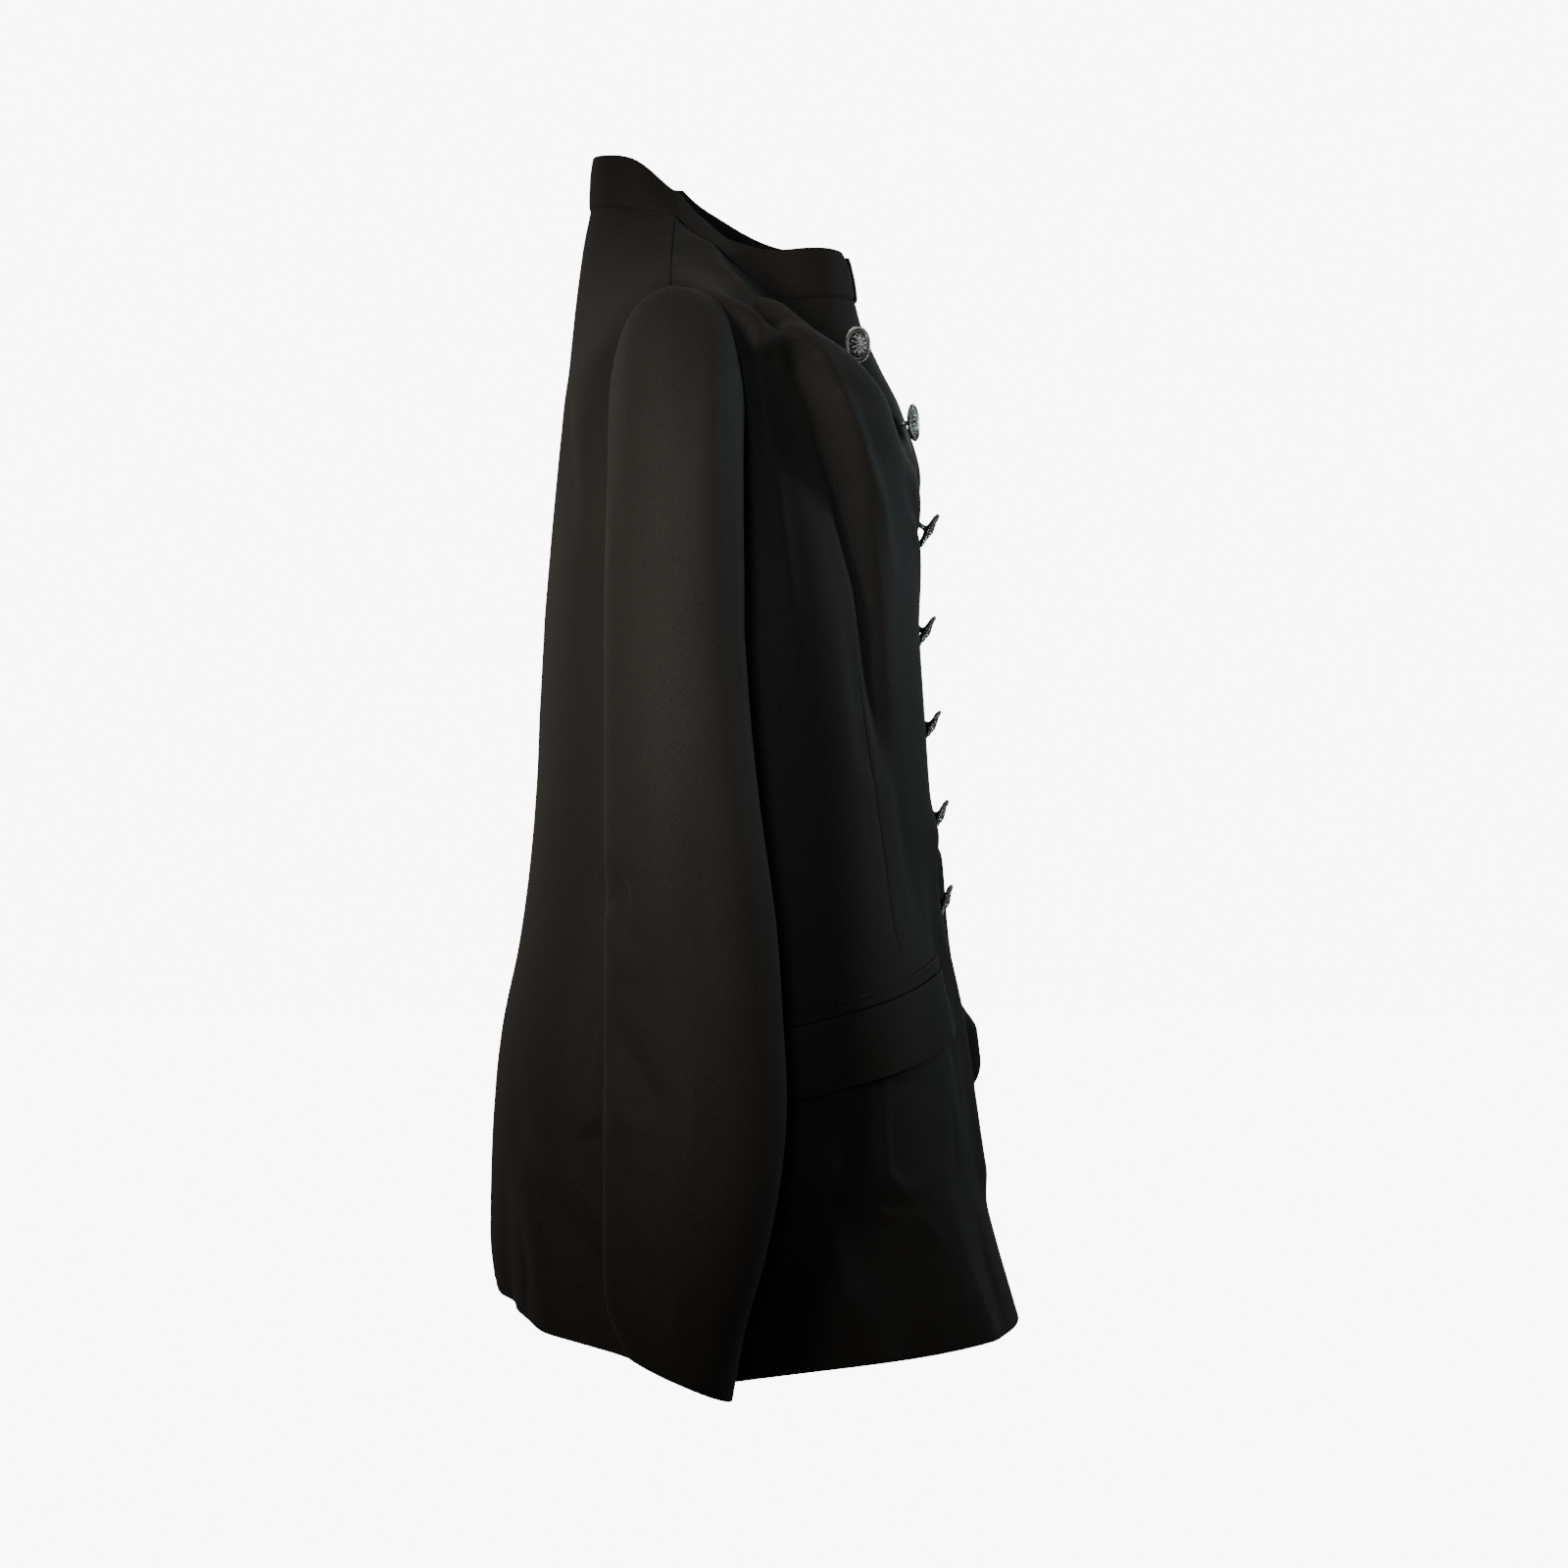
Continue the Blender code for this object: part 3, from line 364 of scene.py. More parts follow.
def smooth_table(rows, column, places):
    """One column of a table at any places along its first column, on a smooth curve through the rows."""
    table = np.array(rows, float)
    known, value = table[:, 0], table[:, column]
    slope = np.gradient(value, known)
    places = np.clip(places, known[0], known[-1])
    k = np.clip(np.searchsorted(known, places, side="right") - 1, 0, len(known) - 2)
    span = known[k + 1] - known[k]
    t = (places - known[k]) / span
    near = value[k] * (1 + 2 * t) * (1 - t) ** 2 + slope[k] * span * t * (1 - t) ** 2
    far = value[k + 1] * t * t * (3 - 2 * t) + slope[k + 1] * span * t * t * (t - 1)
    return near + far


def ring_value(name, level):
    return smooth_table(RINGS, RING_COLUMNS.index(name), level)


def flat_body(angle, level):
    """Points of the body without its folds; angle is in radians."""
    cos, sin = np.cos(angle), np.sin(angle)
    side_y = ring_value("side_y", level)
    swell = 1 + ring_value("swell", level) * np.sin(2 * angle) ** 2
    reach = np.where(cos > 0, side_y - ring_value("front_y", level), ring_value("back_y", level) - side_y)
    ahead = np.clip(cos, 0, 1)
    bow = ring_value("bow", level)
    front_share = (1 - bow) * ahead**2 + bow * (1 - (1 - ahead) ** NECK_BOW)
    front_z = (ring_value("front_z", level) - level) * front_share
    back_z = (ring_value("back_z", level) - level) * np.clip(-cos, 0, 1) ** BACK_BOW
    x = ring_value("half_width", level) * sin * swell
    y = side_y - reach * cos * swell
    z = level + np.where(cos > 0, front_z, back_z)
    return np.stack([x, y, z], axis=-1)


def outward(shape, angle, level):
    """Unit normals of a surface, from points a little way off in each direction."""
    along = shape(angle + TURN_STEP, level) - shape(angle - TURN_STEP, level)
    up = shape(angle, level + LEVEL_STEP) - shape(angle, level - LEVEL_STEP)
    normal = np.cross(along, up)
    return normal / np.linalg.norm(normal, axis=-1, keepdims=True)


def body_normal(angle, level):
    inside = np.clip(level, HEM_LEVEL + LEVEL_STEP, -LEVEL_STEP)
    return outward(flat_body, angle, inside)


def stretches(points, line):
    """For each straight stretch of a line, seen from each point: the distance, the offset, the share of the
    whole line gone by, and how far the point lies past the stretch's ends."""
    for number, (start, end) in enumerate(zip(line[:-1], line[1:])):
        step = end - start
        t = ((points - start) @ step) / (step @ step)
        inside = np.clip(t, 0, 1)
        offset = points - start - inside[..., None] * step
        way = (number + inside) / (len(line) - 1)
        yield np.linalg.norm(offset, axis=-1), offset, way, np.abs(t - inside) * np.linalg.norm(step)


def fold_height(points, columns, folds, place):
    """How far folds or creases lift each of the points; place(pairs) gives a line on the same surface."""
    lift = np.zeros(points.shape[:-1])
    for row in named(columns, folds):
        nearest = np.full(lift.shape, np.inf)
        along = np.zeros(lift.shape)
        for away, _, way, _ in stretches(points, place(np.array(row["places"], float))):
            closer = away < nearest
            nearest = np.where(closer, away, nearest)
            along = np.where(closer, way, along)
        if "height" in row:
            swing = row["height"] * np.sin(math.pi * along) ** CREASE_POWER
        else:
            swing = row["start"] + (row["end"] - row["start"]) * along
        lift += swing * np.exp(-((nearest / row["width"]) ** 2))
    return lift


def seam_line(points, lines, place):
    """Distance of each point across the nearest of the seam lines, minus on one side, and how far the
    seam is sewn there, which falls from 1 to 0 past its ends."""
    across = np.ones(points.shape[:-1])
    sewn = np.zeros(points.shape[:-1])
    for pairs in lines:
        nearest = np.full(across.shape, DART_ZONE)
        for away, offset, way, past in stretches(points, place(np.array(pairs, float))):
            closer = away < nearest
            nearest = np.where(closer, away, nearest)
            across = np.where(closer, np.where(offset[..., 0] < 0, -1, 1) * away, across)
            taper = np.clip((1 - np.abs(2 * way - 1)) / DART_TAPER, DART_END_SHARE, 1)
            sewn = np.where(closer, np.clip(1 - past / DART_FADE, 0, 1) * taper, sewn)
    return across, sewn


def on_body(pairs):
    return flat_body(np.radians(pairs[:, 0]), pairs[:, 1])


def body(angle, level, lift=0.0):
    """Points of the body with its folds, moved out by lift."""
    flat = flat_body(angle, level)
    raised = fold_height(flat, FOLD_COLUMNS, FOLDS, on_body)
    return flat + body_normal(angle, level) * (raised + lift)[..., None]


def ripple(points, size, seed):
    """Smooth unevenness from -1 to 1 at each point."""
    shift = Vector((seed, 2.3 * seed, -1.7 * seed))
    flat = points.reshape(-1, 3) / size
    return np.array([noise.noise(Vector(p) + shift) for p in flat]).reshape(points.shape[:-1])


def drift(points, seed):
    """The cloth's own soft unevenness."""
    return DRIFT_HEIGHT * ripple(points * DRIFT_STRETCH, DRIFT_SIZE, seed)


def pucker(points, far, seed):
    """The fine unevenness beside a seam, by how far the points are from it."""
    return PUCKER_HEIGHT * np.exp(-((far / PUCKER_REACH) ** 2)) * ripple(points, PUCKER_SIZE, seed)


def hem_ledge(from_hem):
    """The step that the turned-up hem presses through the cloth."""
    return HEM_RIDGE / (1 + np.exp((from_hem - HEM_TURN) / HEM_SOFTNESS))


def worn_body(angle, level, lift=0.0):
    """The body with its creases, its darts and the cloth's own unevenness as well."""
    points = body(angle, level, lift)
    flat = flat_body(angle, level)
    fine = fold_height(flat, CREASE_COLUMNS, CREASES, on_body) + drift(points, BODY_DRIFT_SEED)
    across, sewn = seam_line(flat, DART_LINES, on_body)
    fine -= DART_DEPTH * sewn * np.exp(-((across / DART_SINK) ** 2))
    return points + body_normal(angle, level) * fine[..., None]


def armhole_half(level, widest):
    """Half of the armhole's width at a level: nothing at the underarm and at the shoulder."""
    low, high = ARMHOLE_LOW_ROUNDNESS, ARMHOLE_HIGH_ROUNDNESS
    t = np.clip((level - UNDERARM_LEVEL) / (SHOULDER_LEVEL - UNDERARM_LEVEL), 0, 1)
    middle = low / (low + high)
    return widest * (t / middle) ** low * ((1 - t) / (1 - middle)) ** high


def side_angle(level, front):
    """The angle of a panel's outer edge, which is the side seam, the armhole and the shoulder seam."""
    side_y = ring_value("side_y", level)
    half = armhole_half(level, ARMHOLE_FRONT if front else ARMHOLE_BACK) + SEAM_GAP / 2
    if front:
        return math.pi / 2 - half / (side_y - ring_value("front_y", level))
    return math.pi / 2 + half / (ring_value("back_y", level) - side_y)


def body_levels():
    """Levels of the rows of faces: even in the skirt, closer together at both ends of the armhole."""
    skirt = np.linspace(HEM_LEVEL, UNDERARM_LEVEL, SKIRT_ROWS + 1)
    turn = np.linspace(0, math.pi, ARMHOLE_ROWS + 1)
    arm = UNDERARM_LEVEL + (SHOULDER_LEVEL - UNDERARM_LEVEL) * (1 - np.cos(turn)) / 2
    yoke = np.linspace(SHOULDER_LEVEL, 0, YOKE_ROWS + 1)
    return np.concatenate([skirt, arm[1:], yoke[1:]])


def run_along(points, axis):
    """Distances along the rows or columns of a grid of points."""
    steps = np.linalg.norm(np.diff(points, axis=axis), axis=-1)
    start = np.zeros_like(np.take(steps, [0], axis=axis))
    return np.concatenate([start, np.cumsum(steps, axis=axis)], axis=axis)


def run_round(angles, level):
    """Distances round the body at one level, from the first of the angles to each of them."""
    return run_along(flat_body(angles, np.full(len(angles), level)), 0)


def spread_angles(first, last, level, count):
    """Angles from first to last whose points are evenly spaced round the body."""
    fine = np.linspace(first, last, FINE_STEPS)
    run = run_round(fine, level)
    return np.interp(np.linspace(0, run[-1], count + 1), run, fine)


def beside_armhole(angles, level, front):
    """Draws the outer columns of a panel in, so that its last one runs along the armhole's edge."""
    share = np.linspace(0, 1, len(angles))
    pull = np.clip((share - PLAIN_SHARE) / (1 - PLAIN_SHARE), 0, 1)
    return angles + (side_angle(level, front) - angles[-1]) * pull


def add_piece(name, mesh, material, node):
    """Puts a mesh in the scene as the looks of one node of the part."""
    mesh.materials.append(material)
    mesh.shade_smooth()
    piece = bpy.data.objects.new(name, mesh)
    bpy.context.scene.collection.objects.link(piece)
    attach(piece, "root")
    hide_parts(node)
    return piece


def lay_cloth(node, points, marks, thickness=CLOTH, round_trip=False):
    """A flat grid of cloth laid through rows of points, with its own UV map in metres along the weave.

    marks are (name, values) pairs kept at the points as attributes, such as how far each is from a seam.
    """
    name = node + "_cloth"
    rows, columns = points.shape[:2]
    flat = bmesh.new()
    bmesh.ops.create_grid(flat, x_segments=columns - 1, y_segments=rows - 1, size=0.5)
    mesh = bpy.data.meshes.new(name)
    flat.to_mesh(mesh)
    flat.free()
    spots = np.empty(3 * len(mesh.vertices))
    mesh.vertices.foreach_get("co", spots)
    column = np.rint((spots[0::3] + 0.5) * (columns - 1)).astype(int)
    row = np.rint((spots[1::3] + 0.5) * (rows - 1)).astype(int)
    mesh.vertices.foreach_set("co", points[row, column].ravel())
    across = run_along(points, 1)
    across -= across[:, [columns // 2]]
    up = run_along(points, 0)
    corner = np.empty(len(mesh.loops), int)
    mesh.loops.foreach_get("vertex_index", corner)
    weave = mesh.uv_layers.new(name="weave")
    uv = np.stack([across[row, column][corner], up[row, column][corner]], axis=-1)
    weave.data.foreach_set("uv", uv.ravel())
    for mark, values in marks:
        kept = mesh.attributes.new(mark, "FLOAT", "POINT")
        kept.data.foreach_set("value", values[row, column])
    if round_trip:
        joined = bmesh.new()
        joined.from_mesh(mesh)
        bmesh.ops.remove_doubles(joined, verts=joined.verts, dist=MERGE_DISTANCE)
        joined.to_mesh(mesh)
        joined.free()
    piece = add_piece(name, mesh, black_suiting, node)
    wall = piece.modifiers.new("cloth thickness", "SOLIDIFY")
    wall.thickness = thickness
    wall.offset = -1
    turned = piece.modifiers.new("turned edge", "BEVEL")
    turned.width = TURNED_EDGE
    turned.segments = 2
    turned.limit_method = "ANGLE"
    turned.angle_limit = math.radians(TURNED_ANGLE)
    return piece


def near_edges(points, edges):
    """How far each point of a grid is from the nearest of the edges named: left, right, top or bottom."""
    across, up = run_along(points, 1), run_along(points, 0)
    far = {"l": across, "r": across[:, -1:] - across, "t": up[-1:, :] - up, "b": up}
    return np.minimum.reduce([far[edge] for edge in edges])


# Black suiting: fine twill of twisted threads, uneven yarns along the warp, a soft nap and a dry sheen. The
# tint is its colour where the nap is raised, and the deep one where the cloth is pressed flat.
SUITING_TINT = (0.0178, 0.0162, 0.0146, 1.0)
SUITING_DEEP = (0.0106, 0.0098, 0.0090, 1.0)
SUITING_ROUGH = (0.86, 0.74)
SUITING_SURFACE = {
    "Specular IOR Level": 0.16,
    "Sheen Weight": 0.03,
    "Sheen Roughness": 0.60,
    "Sheen Tint": (1.0, 0.93, 0.84, 1.0),
}
CLOUD_SCALE = (9, 6, 1)
CLOUD_NOISE = (1.0, 5.0, 0.6)
WARP_SCALE = (1700, 300, 1)
WEFT_SCALE = (420, 1500, 1)
YARN_NOISE = (1.0, 2.0, 0.55)
TWILL = {"Scale": 330.0, "Distortion": 0.6, "Detail": 1.0}
WARP_SHARE = 0.65
THREAD_RANGE = (0.55, 1.05)
CLOUD_RANGE = (0.3, 0.7)
CLOUD_SHIFT = (-0.25, 0.3)
TWILL_SHARE = 0.35
WEAVE_BUMP = (0.45, 0.00018)
HEM_BUMP = (0.25, 0.0002)
HEM_EDGE = 0.0015
SEAM_BUMP = (0.6, 0.0005)
# Painted shade: how dark the colour is painted in the dart's groove and in the welt's stitch holes
PAINTED_SEAM_SHADE = 0.06
DART_CORE = 0.3
STITCH_INSET = 0.0020
STITCH_HALF_WIDTH = 0.00035
STITCH_STEP = 0.0040
STITCH_SHARE = 0.31


def suiting(name):
    material = bpy.data.materials.new(name)
    material.use_nodes = True
    nodes = Nodes(material.node_tree)
    uv = material.node_tree.nodes.new("ShaderNodeUVMap")
    uv.uv_map = "weave"
    weave = uv.outputs["UV"]

    def scaled(scale):
        return nodes.add("ShaderNodeMapping", {"Scale": scale, "Vector": weave}).outputs["Vector"]

    cloud = nodes.noise(scaled(CLOUD_SCALE), *CLOUD_NOISE)
    warp = nodes.noise(scaled(WARP_SCALE), *YARN_NOISE)
    weft = nodes.noise(scaled(WEFT_SCALE), *YARN_NOISE)
    twill = nodes.add("ShaderNodeTexWave", {**TWILL, "Vector": weave})
    twill.bands_direction = "DIAGONAL"

    threads = nodes.math("MULTIPLY_ADD", warp, WARP_SHARE, weft)
    shade = nodes.remap(threads, *THREAD_RANGE, 0.0, 1.0)
    worn = nodes.remap(cloud, *CLOUD_RANGE, *CLOUD_SHIFT)
    both = nodes.math("ADD", shade, worn, clamp=True)
    colour = nodes.mix(both, SUITING_DEEP, SUITING_TINT)

    across = nodes.math("ABSOLUTE", nodes.mark("dart_across"))
    groove = nodes.remap(across, DART_HALF_WIDTH * DART_CORE, DART_HALF_WIDTH, 1.0, 0.0)
    dart = nodes.math("MULTIPLY", groove, nodes.mark("dart_sewn"))
    off_row = nodes.math("SUBTRACT", nodes.mark("stitched"), STITCH_INSET)
    near_row = nodes.math("COMPARE", off_row, 0.0, STITCH_HALF_WIDTH)
    along = nodes.add("ShaderNodeSeparateXYZ", {"Vector": weave}).outputs["X"]
    beat = nodes.math("PINGPONG", along, STITCH_STEP / 2)
    thread_here = nodes.math("LESS_THAN", beat, STITCH_STEP * STITCH_SHARE)
    stitch = nodes.math("MULTIPLY", near_row, thread_here)
    sunk = nodes.math("ADD", dart, stitch, clamp=True)
    # Painted shade: the base colour is darkened in the dart's groove and in the welt's stitch holes, where
    # shade falls in the sunk cloth
    darker = nodes.remap(sunk, 0.0, 1.0, 1.0, PAINTED_SEAM_SHADE)

    relief = nodes.math("MULTIPLY_ADD", twill.outputs["Fac"], TWILL_SHARE, threads)
    woven = nodes.bump(relief, *WEAVE_BUMP)
    ledge = nodes.remap(nodes.mark("hem"), HEM_TURN - HEM_EDGE, HEM_TURN + HEM_EDGE, 1.0, 0.0)
    hemmed = nodes.bump(ledge, *HEM_BUMP, under=woven)
    looks = {
        "Base Color": nodes.mix(1.0, colour, darker, blend="MULTIPLY"),
        "Roughness": nodes.remap(both, 0.0, 1.0, *SUITING_ROUGH),
        "Normal": nodes.bump(sunk, *SEAM_BUMP, under=hemmed, sunk=True),
    }
    nodes.fill(material.node_tree.nodes["Principled BSDF"], {**SUITING_SURFACE, **looks})
    return material


black_suiting = suiting("black suiting")


def panel(node, angles, stitched, lift=0.0):
    """A panel of the body from its grid of angles, puckered beside its stitched edges."""
    heights = np.tile(levels[:, None], (1, angles.shape[1]))
    points = worn_body(angles, heights, lift)
    hem = run_along(points, 0)
    fine = pucker(points, near_edges(points, stitched), BODY_PUCKER_SEED) + hem_ledge(hem)
    points = points + body_normal(angles, heights) * fine[..., None]
    across, sewn = seam_line(flat_body(angles, heights), DART_LINES, on_body)
    return lay_cloth(node, points, [("hem", hem), ("dart_across", across), ("dart_sewn", sewn)])


levels = body_levels()
back_angles = []
for level in levels:
    half = spread_angles(math.pi, math.pi / 2, level, BACK_COLUMNS // 2)
    half = beside_armhole(half, level, front=False)
    back_angles.append(np.concatenate([half[::-1], 2 * math.pi - half[1:]]))
back = panel("back", np.array(back_angles), "lrt")

# Fronts
# Two front panels of the same suiting, each with a dart under the bust. The right one laps over the left
# one, which carries on under it a layer lower, and both are turned in along their free edges.
FRONT_COLUMNS = 140
EDGE_X_NECK = -0.012
EDGE_X_HEM = -0.004
UNDERLAP_COLUMNS = 19
UNDERLAP_EASE = 0.018


def edge_x(level):
    """Where the edge of the right front runs."""
    share = (level - HEM_LEVEL) / -HEM_LEVEL
    return EDGE_X_HEM + (EDGE_X_NECK - EDGE_X_HEM) * share


def front_angle(x, level):
    """The angle near centre front whose point has this x."""
    return np.arcsin(x / ring_value("half_width", level))


right_angles, left_angles, left_sunk = [], [], []
for level in levels:
    edge = front_angle(edge_x(level), level)
    angles = spread_angles(-edge, math.pi / 2, level, FRONT_COLUMNS)
    right_angles.append(-beside_armhole(angles, level, front=True)[::-1])
    under = right_angles[-1][-1 - UNDERLAP_COLUMNS : -1]
    angles = spread_angles(edge, math.pi / 2, level, FRONT_COLUMNS)
    left_angles.append(np.concatenate([under, beside_armhole(angles, level, front=True)]))
    flat = flat_body(left_angles[-1], np.full(len(left_angles[-1]), level))
    covered = np.clip((edge_x(level) + UNDERLAP_EASE - flat[:, 0]) / UNDERLAP_EASE, 0, 1)
    left_sunk.append(covered * covered * (3 - 2 * covered) * (CLOTH + LAYER_GAP))

right_front = panel("right_front", np.array(right_angles), "lt")
left_front = panel("left_front", np.array(left_angles), "rt", -np.array(left_sunk))

# Sleeves
# Long set-in sleeves of the same suiting. Each head is eased into its armhole and falls over the upper
# arm; a pressed fold runs down the back, and the cloth breaks at the elbow.
SLEEVE_COLUMNS = ("level", "middle_x", "half_x", "front_y", "back_y", "tilt")
SLEEVE_ROWS = (
    (-0.262, 0.2470, 0.0455, -0.0139, 0.0630, 0.000),
    (-0.330, 0.2505, 0.0450, -0.0190, 0.0630, 0.000),
    (-0.370, 0.2525, 0.0450, -0.0234, 0.0630, 0.000),
    (-0.430, 0.2555, 0.0450, -0.0320, 0.0630, 0.000),
    (-0.485, 0.2590, 0.0440, -0.0363, 0.0630, 0.000),
    (-0.535, 0.2620, 0.0430, -0.0380, 0.0630, 0.001),
    (-0.580, 0.2645, 0.0410, -0.0330, 0.0630, 0.003),
    (-0.620, 0.2665, 0.0390, -0.0240, 0.0630, 0.006),
    (-0.650, 0.2680, 0.0375, -0.0145, 0.0610, 0.012),
    (-0.684, 0.2700, 0.0360, -0.0070, 0.0500, 0.026),
)
SLEEVE_TUBE_ROWS = 130
SLEEVE_HEAD_ROWS = 42
SLEEVE_HEAD_DROP = 0.30
SLEEVE_HEAD_REACH = 0.85
SLEEVE_CREASE = 0.35
SLEEVE_FLATNESS = 0.62
SLEEVE_TUCK_OUT = 0.0025
SLEEVE_TUCK_IN = 0.0024
SLEEVE_DRIFT_SEED = 3.0
SLEEVE_PUCKER_SEED = 8.0

# Folds and creases of the sleeve, in (turn, level) places, where turn 0 is the outer side, 90 the front
# and 270 the back
SLEEVE_FOLDS = (
    (-0.0040, -0.0010, 0.016, ((300, -0.415), (328, -0.455), (340, -0.490))),
    (0.0035, 0.0010, 0.015, ((322, -0.425), (345, -0.470))),
    (-0.0035, -0.0015, 0.018, ((315, -0.520), (338, -0.560))),
    (0.0035, 0.0010, 0.022, ((30, -0.090), (35, -0.200))),
    (-0.0035, 0.0, 0.020, ((62, -0.110), (66, -0.230))),
    (0.0010, 0.0030, 0.020, ((40, -0.560), (35, -0.640))),
)
SLEEVE_CREASES = (
    (-0.0044, 0.0100, ((288, -0.392), (302, -0.412), (318, -0.428))),
    (0.0060, 0.0100, ((290, -0.416), (304, -0.440), (322, -0.462))),
    (-0.0074, 0.0105, ((290, -0.474), (303, -0.498), (318, -0.517), (338, -0.534))),
    (0.0052, 0.0105, ((292, -0.510), (306, -0.530), (328, -0.548))),
    (-0.0030, 0.0090, ((286, -0.550), (300, -0.568), (318, -0.580))),
    (0.0014, 0.009, ((330, -0.300), (345, -0.380), (350, -0.440))),
    (-0.0013, 0.010, ((20, -0.330), (10, -0.420), (15, -0.500))),
    (0.0012, 0.008, ((300, -0.560), (325, -0.600), (350, -0.620))),
    (-0.0014, 0.008, ((40, -0.600), (20, -0.640), (5, -0.690))),
    (-0.0016, 0.008, ((100, -0.400), (130, -0.430), (160, -0.440))),
    (0.0016, 0.009, ((200, -0.380), (225, -0.430), (240, -0.450))),
)


def armhole_ring(side):
    """Points round an armhole, from the shoulder down the front to the underarm and up the back, and the
    same points where the sleeve's edge is turned in behind the panels."""
    around = levels[SKIRT_ROWS : SKIRT_ROWS + ARMHOLE_ROWS + 1]
    down, up = around[::-1], around[1:-1]
    angle = np.concatenate([side * side_angle(down, front=True), side * side_angle(up, front=False)])
    level = np.concatenate([down, up])
    angle[[0, ARMHOLE_ROWS]] = side * math.pi / 2
    edge = worn_body(angle, level)
    facing = body_normal(angle, level)
    around_it = edge - edge.mean(axis=0)
    around_it /= np.linalg.norm(around_it, axis=1, keepdims=True)
    turned_in = edge + around_it * SLEEVE_TUCK_OUT - facing * SLEEVE_TUCK_IN
    return edge + (facing + (side, 0, 0)) * SEAM_GAP, turned_in


def sleeve_value(name, level):
    """One column of the sleeve's table; its rows run downwards, so they are read by depth."""
    by_depth = [(-row[0], *row[1:]) for row in SLEEVE_ROWS]
    return smooth_table(by_depth, SLEEVE_COLUMNS.index(name), -level)


def sleeve_ring(side, turn, level):
    """Points of the sleeve below the upper arm; turn is in radians."""
    cos, sin = np.cos(turn), np.sin(turn)
    pinch = 1 - SLEEVE_CREASE * ((1 - sin) / 2) ** 3
    bulge = np.where(cos > 0, np.clip(cos, 0, 1) ** SLEEVE_FLATNESS, cos)
    front_y, back_y = sleeve_value("front_y", level), sleeve_value("back_y", level)
    x = side * (sleeve_value("middle_x", level) + sleeve_value("half_x", level) * bulge * pinch)
    y = (front_y + back_y) / 2 - (back_y - front_y) / 2 * sin
    z = level - sleeve_value("tilt", level) * sin / 2
    return np.stack([x, y, z], axis=-1)


def sleeve_head(side, start, end, t):
    """Points of the sleeve's head; t runs from 0 at the armhole, where it leaves sideways, to 1 at the
    upper arm, which it meets straight down."""
    away = np.linalg.norm(end - start, axis=1, keepdims=True) * SLEEVE_HEAD_REACH
    upper = (1 + np.cos(turns)[:, None]) / 2
    leave = np.array([side, 0, 0]) - np.array([0, 0, SLEEVE_HEAD_DROP]) * upper
    return (
        start * (1 + 2 * t) * (1 - t) ** 2
        + leave * away * t * (1 - t) ** 2
        + end * t * t * (3 - 2 * t)
        + np.array([0, 0, -1]) * away * t * t * (t - 1)
    )


def sleeve_rows(side):
    """Rows of points from the armhole to the cuff, and how far each point is from the cuff."""
    start, turned_in = armhole_ring(side)
    tube = [sleeve_ring(side, turns, np.full(len(turns), level)) for level in tube_levels]
    head = [sleeve_head(side, start, tube[0], share) for share in head_shares]
    rows = np.stack(head + tube[1:])

    def on_sleeve(pairs):
        level = np.clip(pairs[:, 1], tube_levels[-1], tube_levels[0])
        line = sleeve_ring(side, np.radians(pairs[:, 0]), level)
        line[:, 2] = pairs[:, 1]
        return line

    out = rows - rows.mean(axis=1, keepdims=True)
    out[..., 2] = 0
    out /= np.linalg.norm(out, axis=-1, keepdims=True)
    rise = fold_height(rows, FOLD_COLUMNS, SLEEVE_FOLDS, on_sleeve)
    rise += fold_height(rows, CREASE_COLUMNS, SLEEVE_CREASES, on_sleeve)
    rise += drift(rows, SLEEVE_DRIFT_SEED + side)
    rise *= np.concatenate([head_shares**2, np.ones(SLEEVE_TUBE_ROWS)])[:, None]
    from_head, from_cuff = run_along(rows, 0), run_along(rows[::-1], 0)[::-1]
    rise += pucker(rows, from_head, SLEEVE_PUCKER_SEED) * (from_head > 0) + hem_ledge(from_cuff)
    rows = np.concatenate([turned_in[None], rows + out * rise[..., None]])
    from_cuff = np.concatenate([from_cuff[:1], from_cuff])
    return np.concatenate([rows, rows[:, :1]], axis=1), np.concatenate([from_cuff, from_cuff[:, :1]], axis=1)


turns = np.linspace(0, 2 * math.pi, 2 * ARMHOLE_ROWS, endpoint=False)
head_shares = np.linspace(0, 1, SLEEVE_HEAD_ROWS + 1)
tube_levels = np.linspace(SLEEVE_ROWS[0][0], SLEEVE_ROWS[-1][0], SLEEVE_TUBE_ROWS + 1)
for node, side, front in (("right_sleeve", -1, "right_front"), ("left_sleeve", 1, "left_front")):
    rows, cuff = sleeve_rows(side)
    if side < 0:
        rows, cuff = rows[:, ::-1], cuff[:, ::-1]
    sleeve = lay_cloth(node, rows[::-1], [("hem", cuff[::-1])], round_trip=True)

# Stand collar
# One band of doubled suiting round the neck, stiffened inside and turned in along its top edge. It stands
# up at the back and on the left, and sags towards the neck on the right.
COLLAR_COLUMNS = ("angle", "right_rise", "right_lean", "left_rise", "left_lean")
COLLAR_ROWS = (
    (0, 0.0265, 0.005, 0.0270, 0.005),
    (30, 0.0300, 0.007, 0.0330, 0.006),
    (50, 0.0290, 0.010, 0.0370, 0.005),
    (60, 0.0250, 0.014, 0.0375, 0.005),
    (70, 0.0180, 0.017, 0.0375, 0.006),
    (90, 0.0150, 0.018, 0.0330, 0.009),
    (125, 0.0300, 0.010, 0.0330, 0.009),
    (155, 0.0315, 0.004, 0.0325, 0.004),
    (180, 0.0320, 0.002, 0.0320, 0.002),
)
COLLAR_CLOTH = 0.0026
COLLAR_COLUMN_COUNT = 240
COLLAR_ROW_COUNT = 16
COLLAR_END_GAP = 0.005
COLLAR_CORNER = 0.007
COLLAR_STEP = 0.0012
COLLAR_SEAM = 0.0014
COLLAR_TUCK_IN = 0.0032
COLLAR_TUCK_DOWN = 0.0020
COLLAR_MIDDLE_Y = 0.020
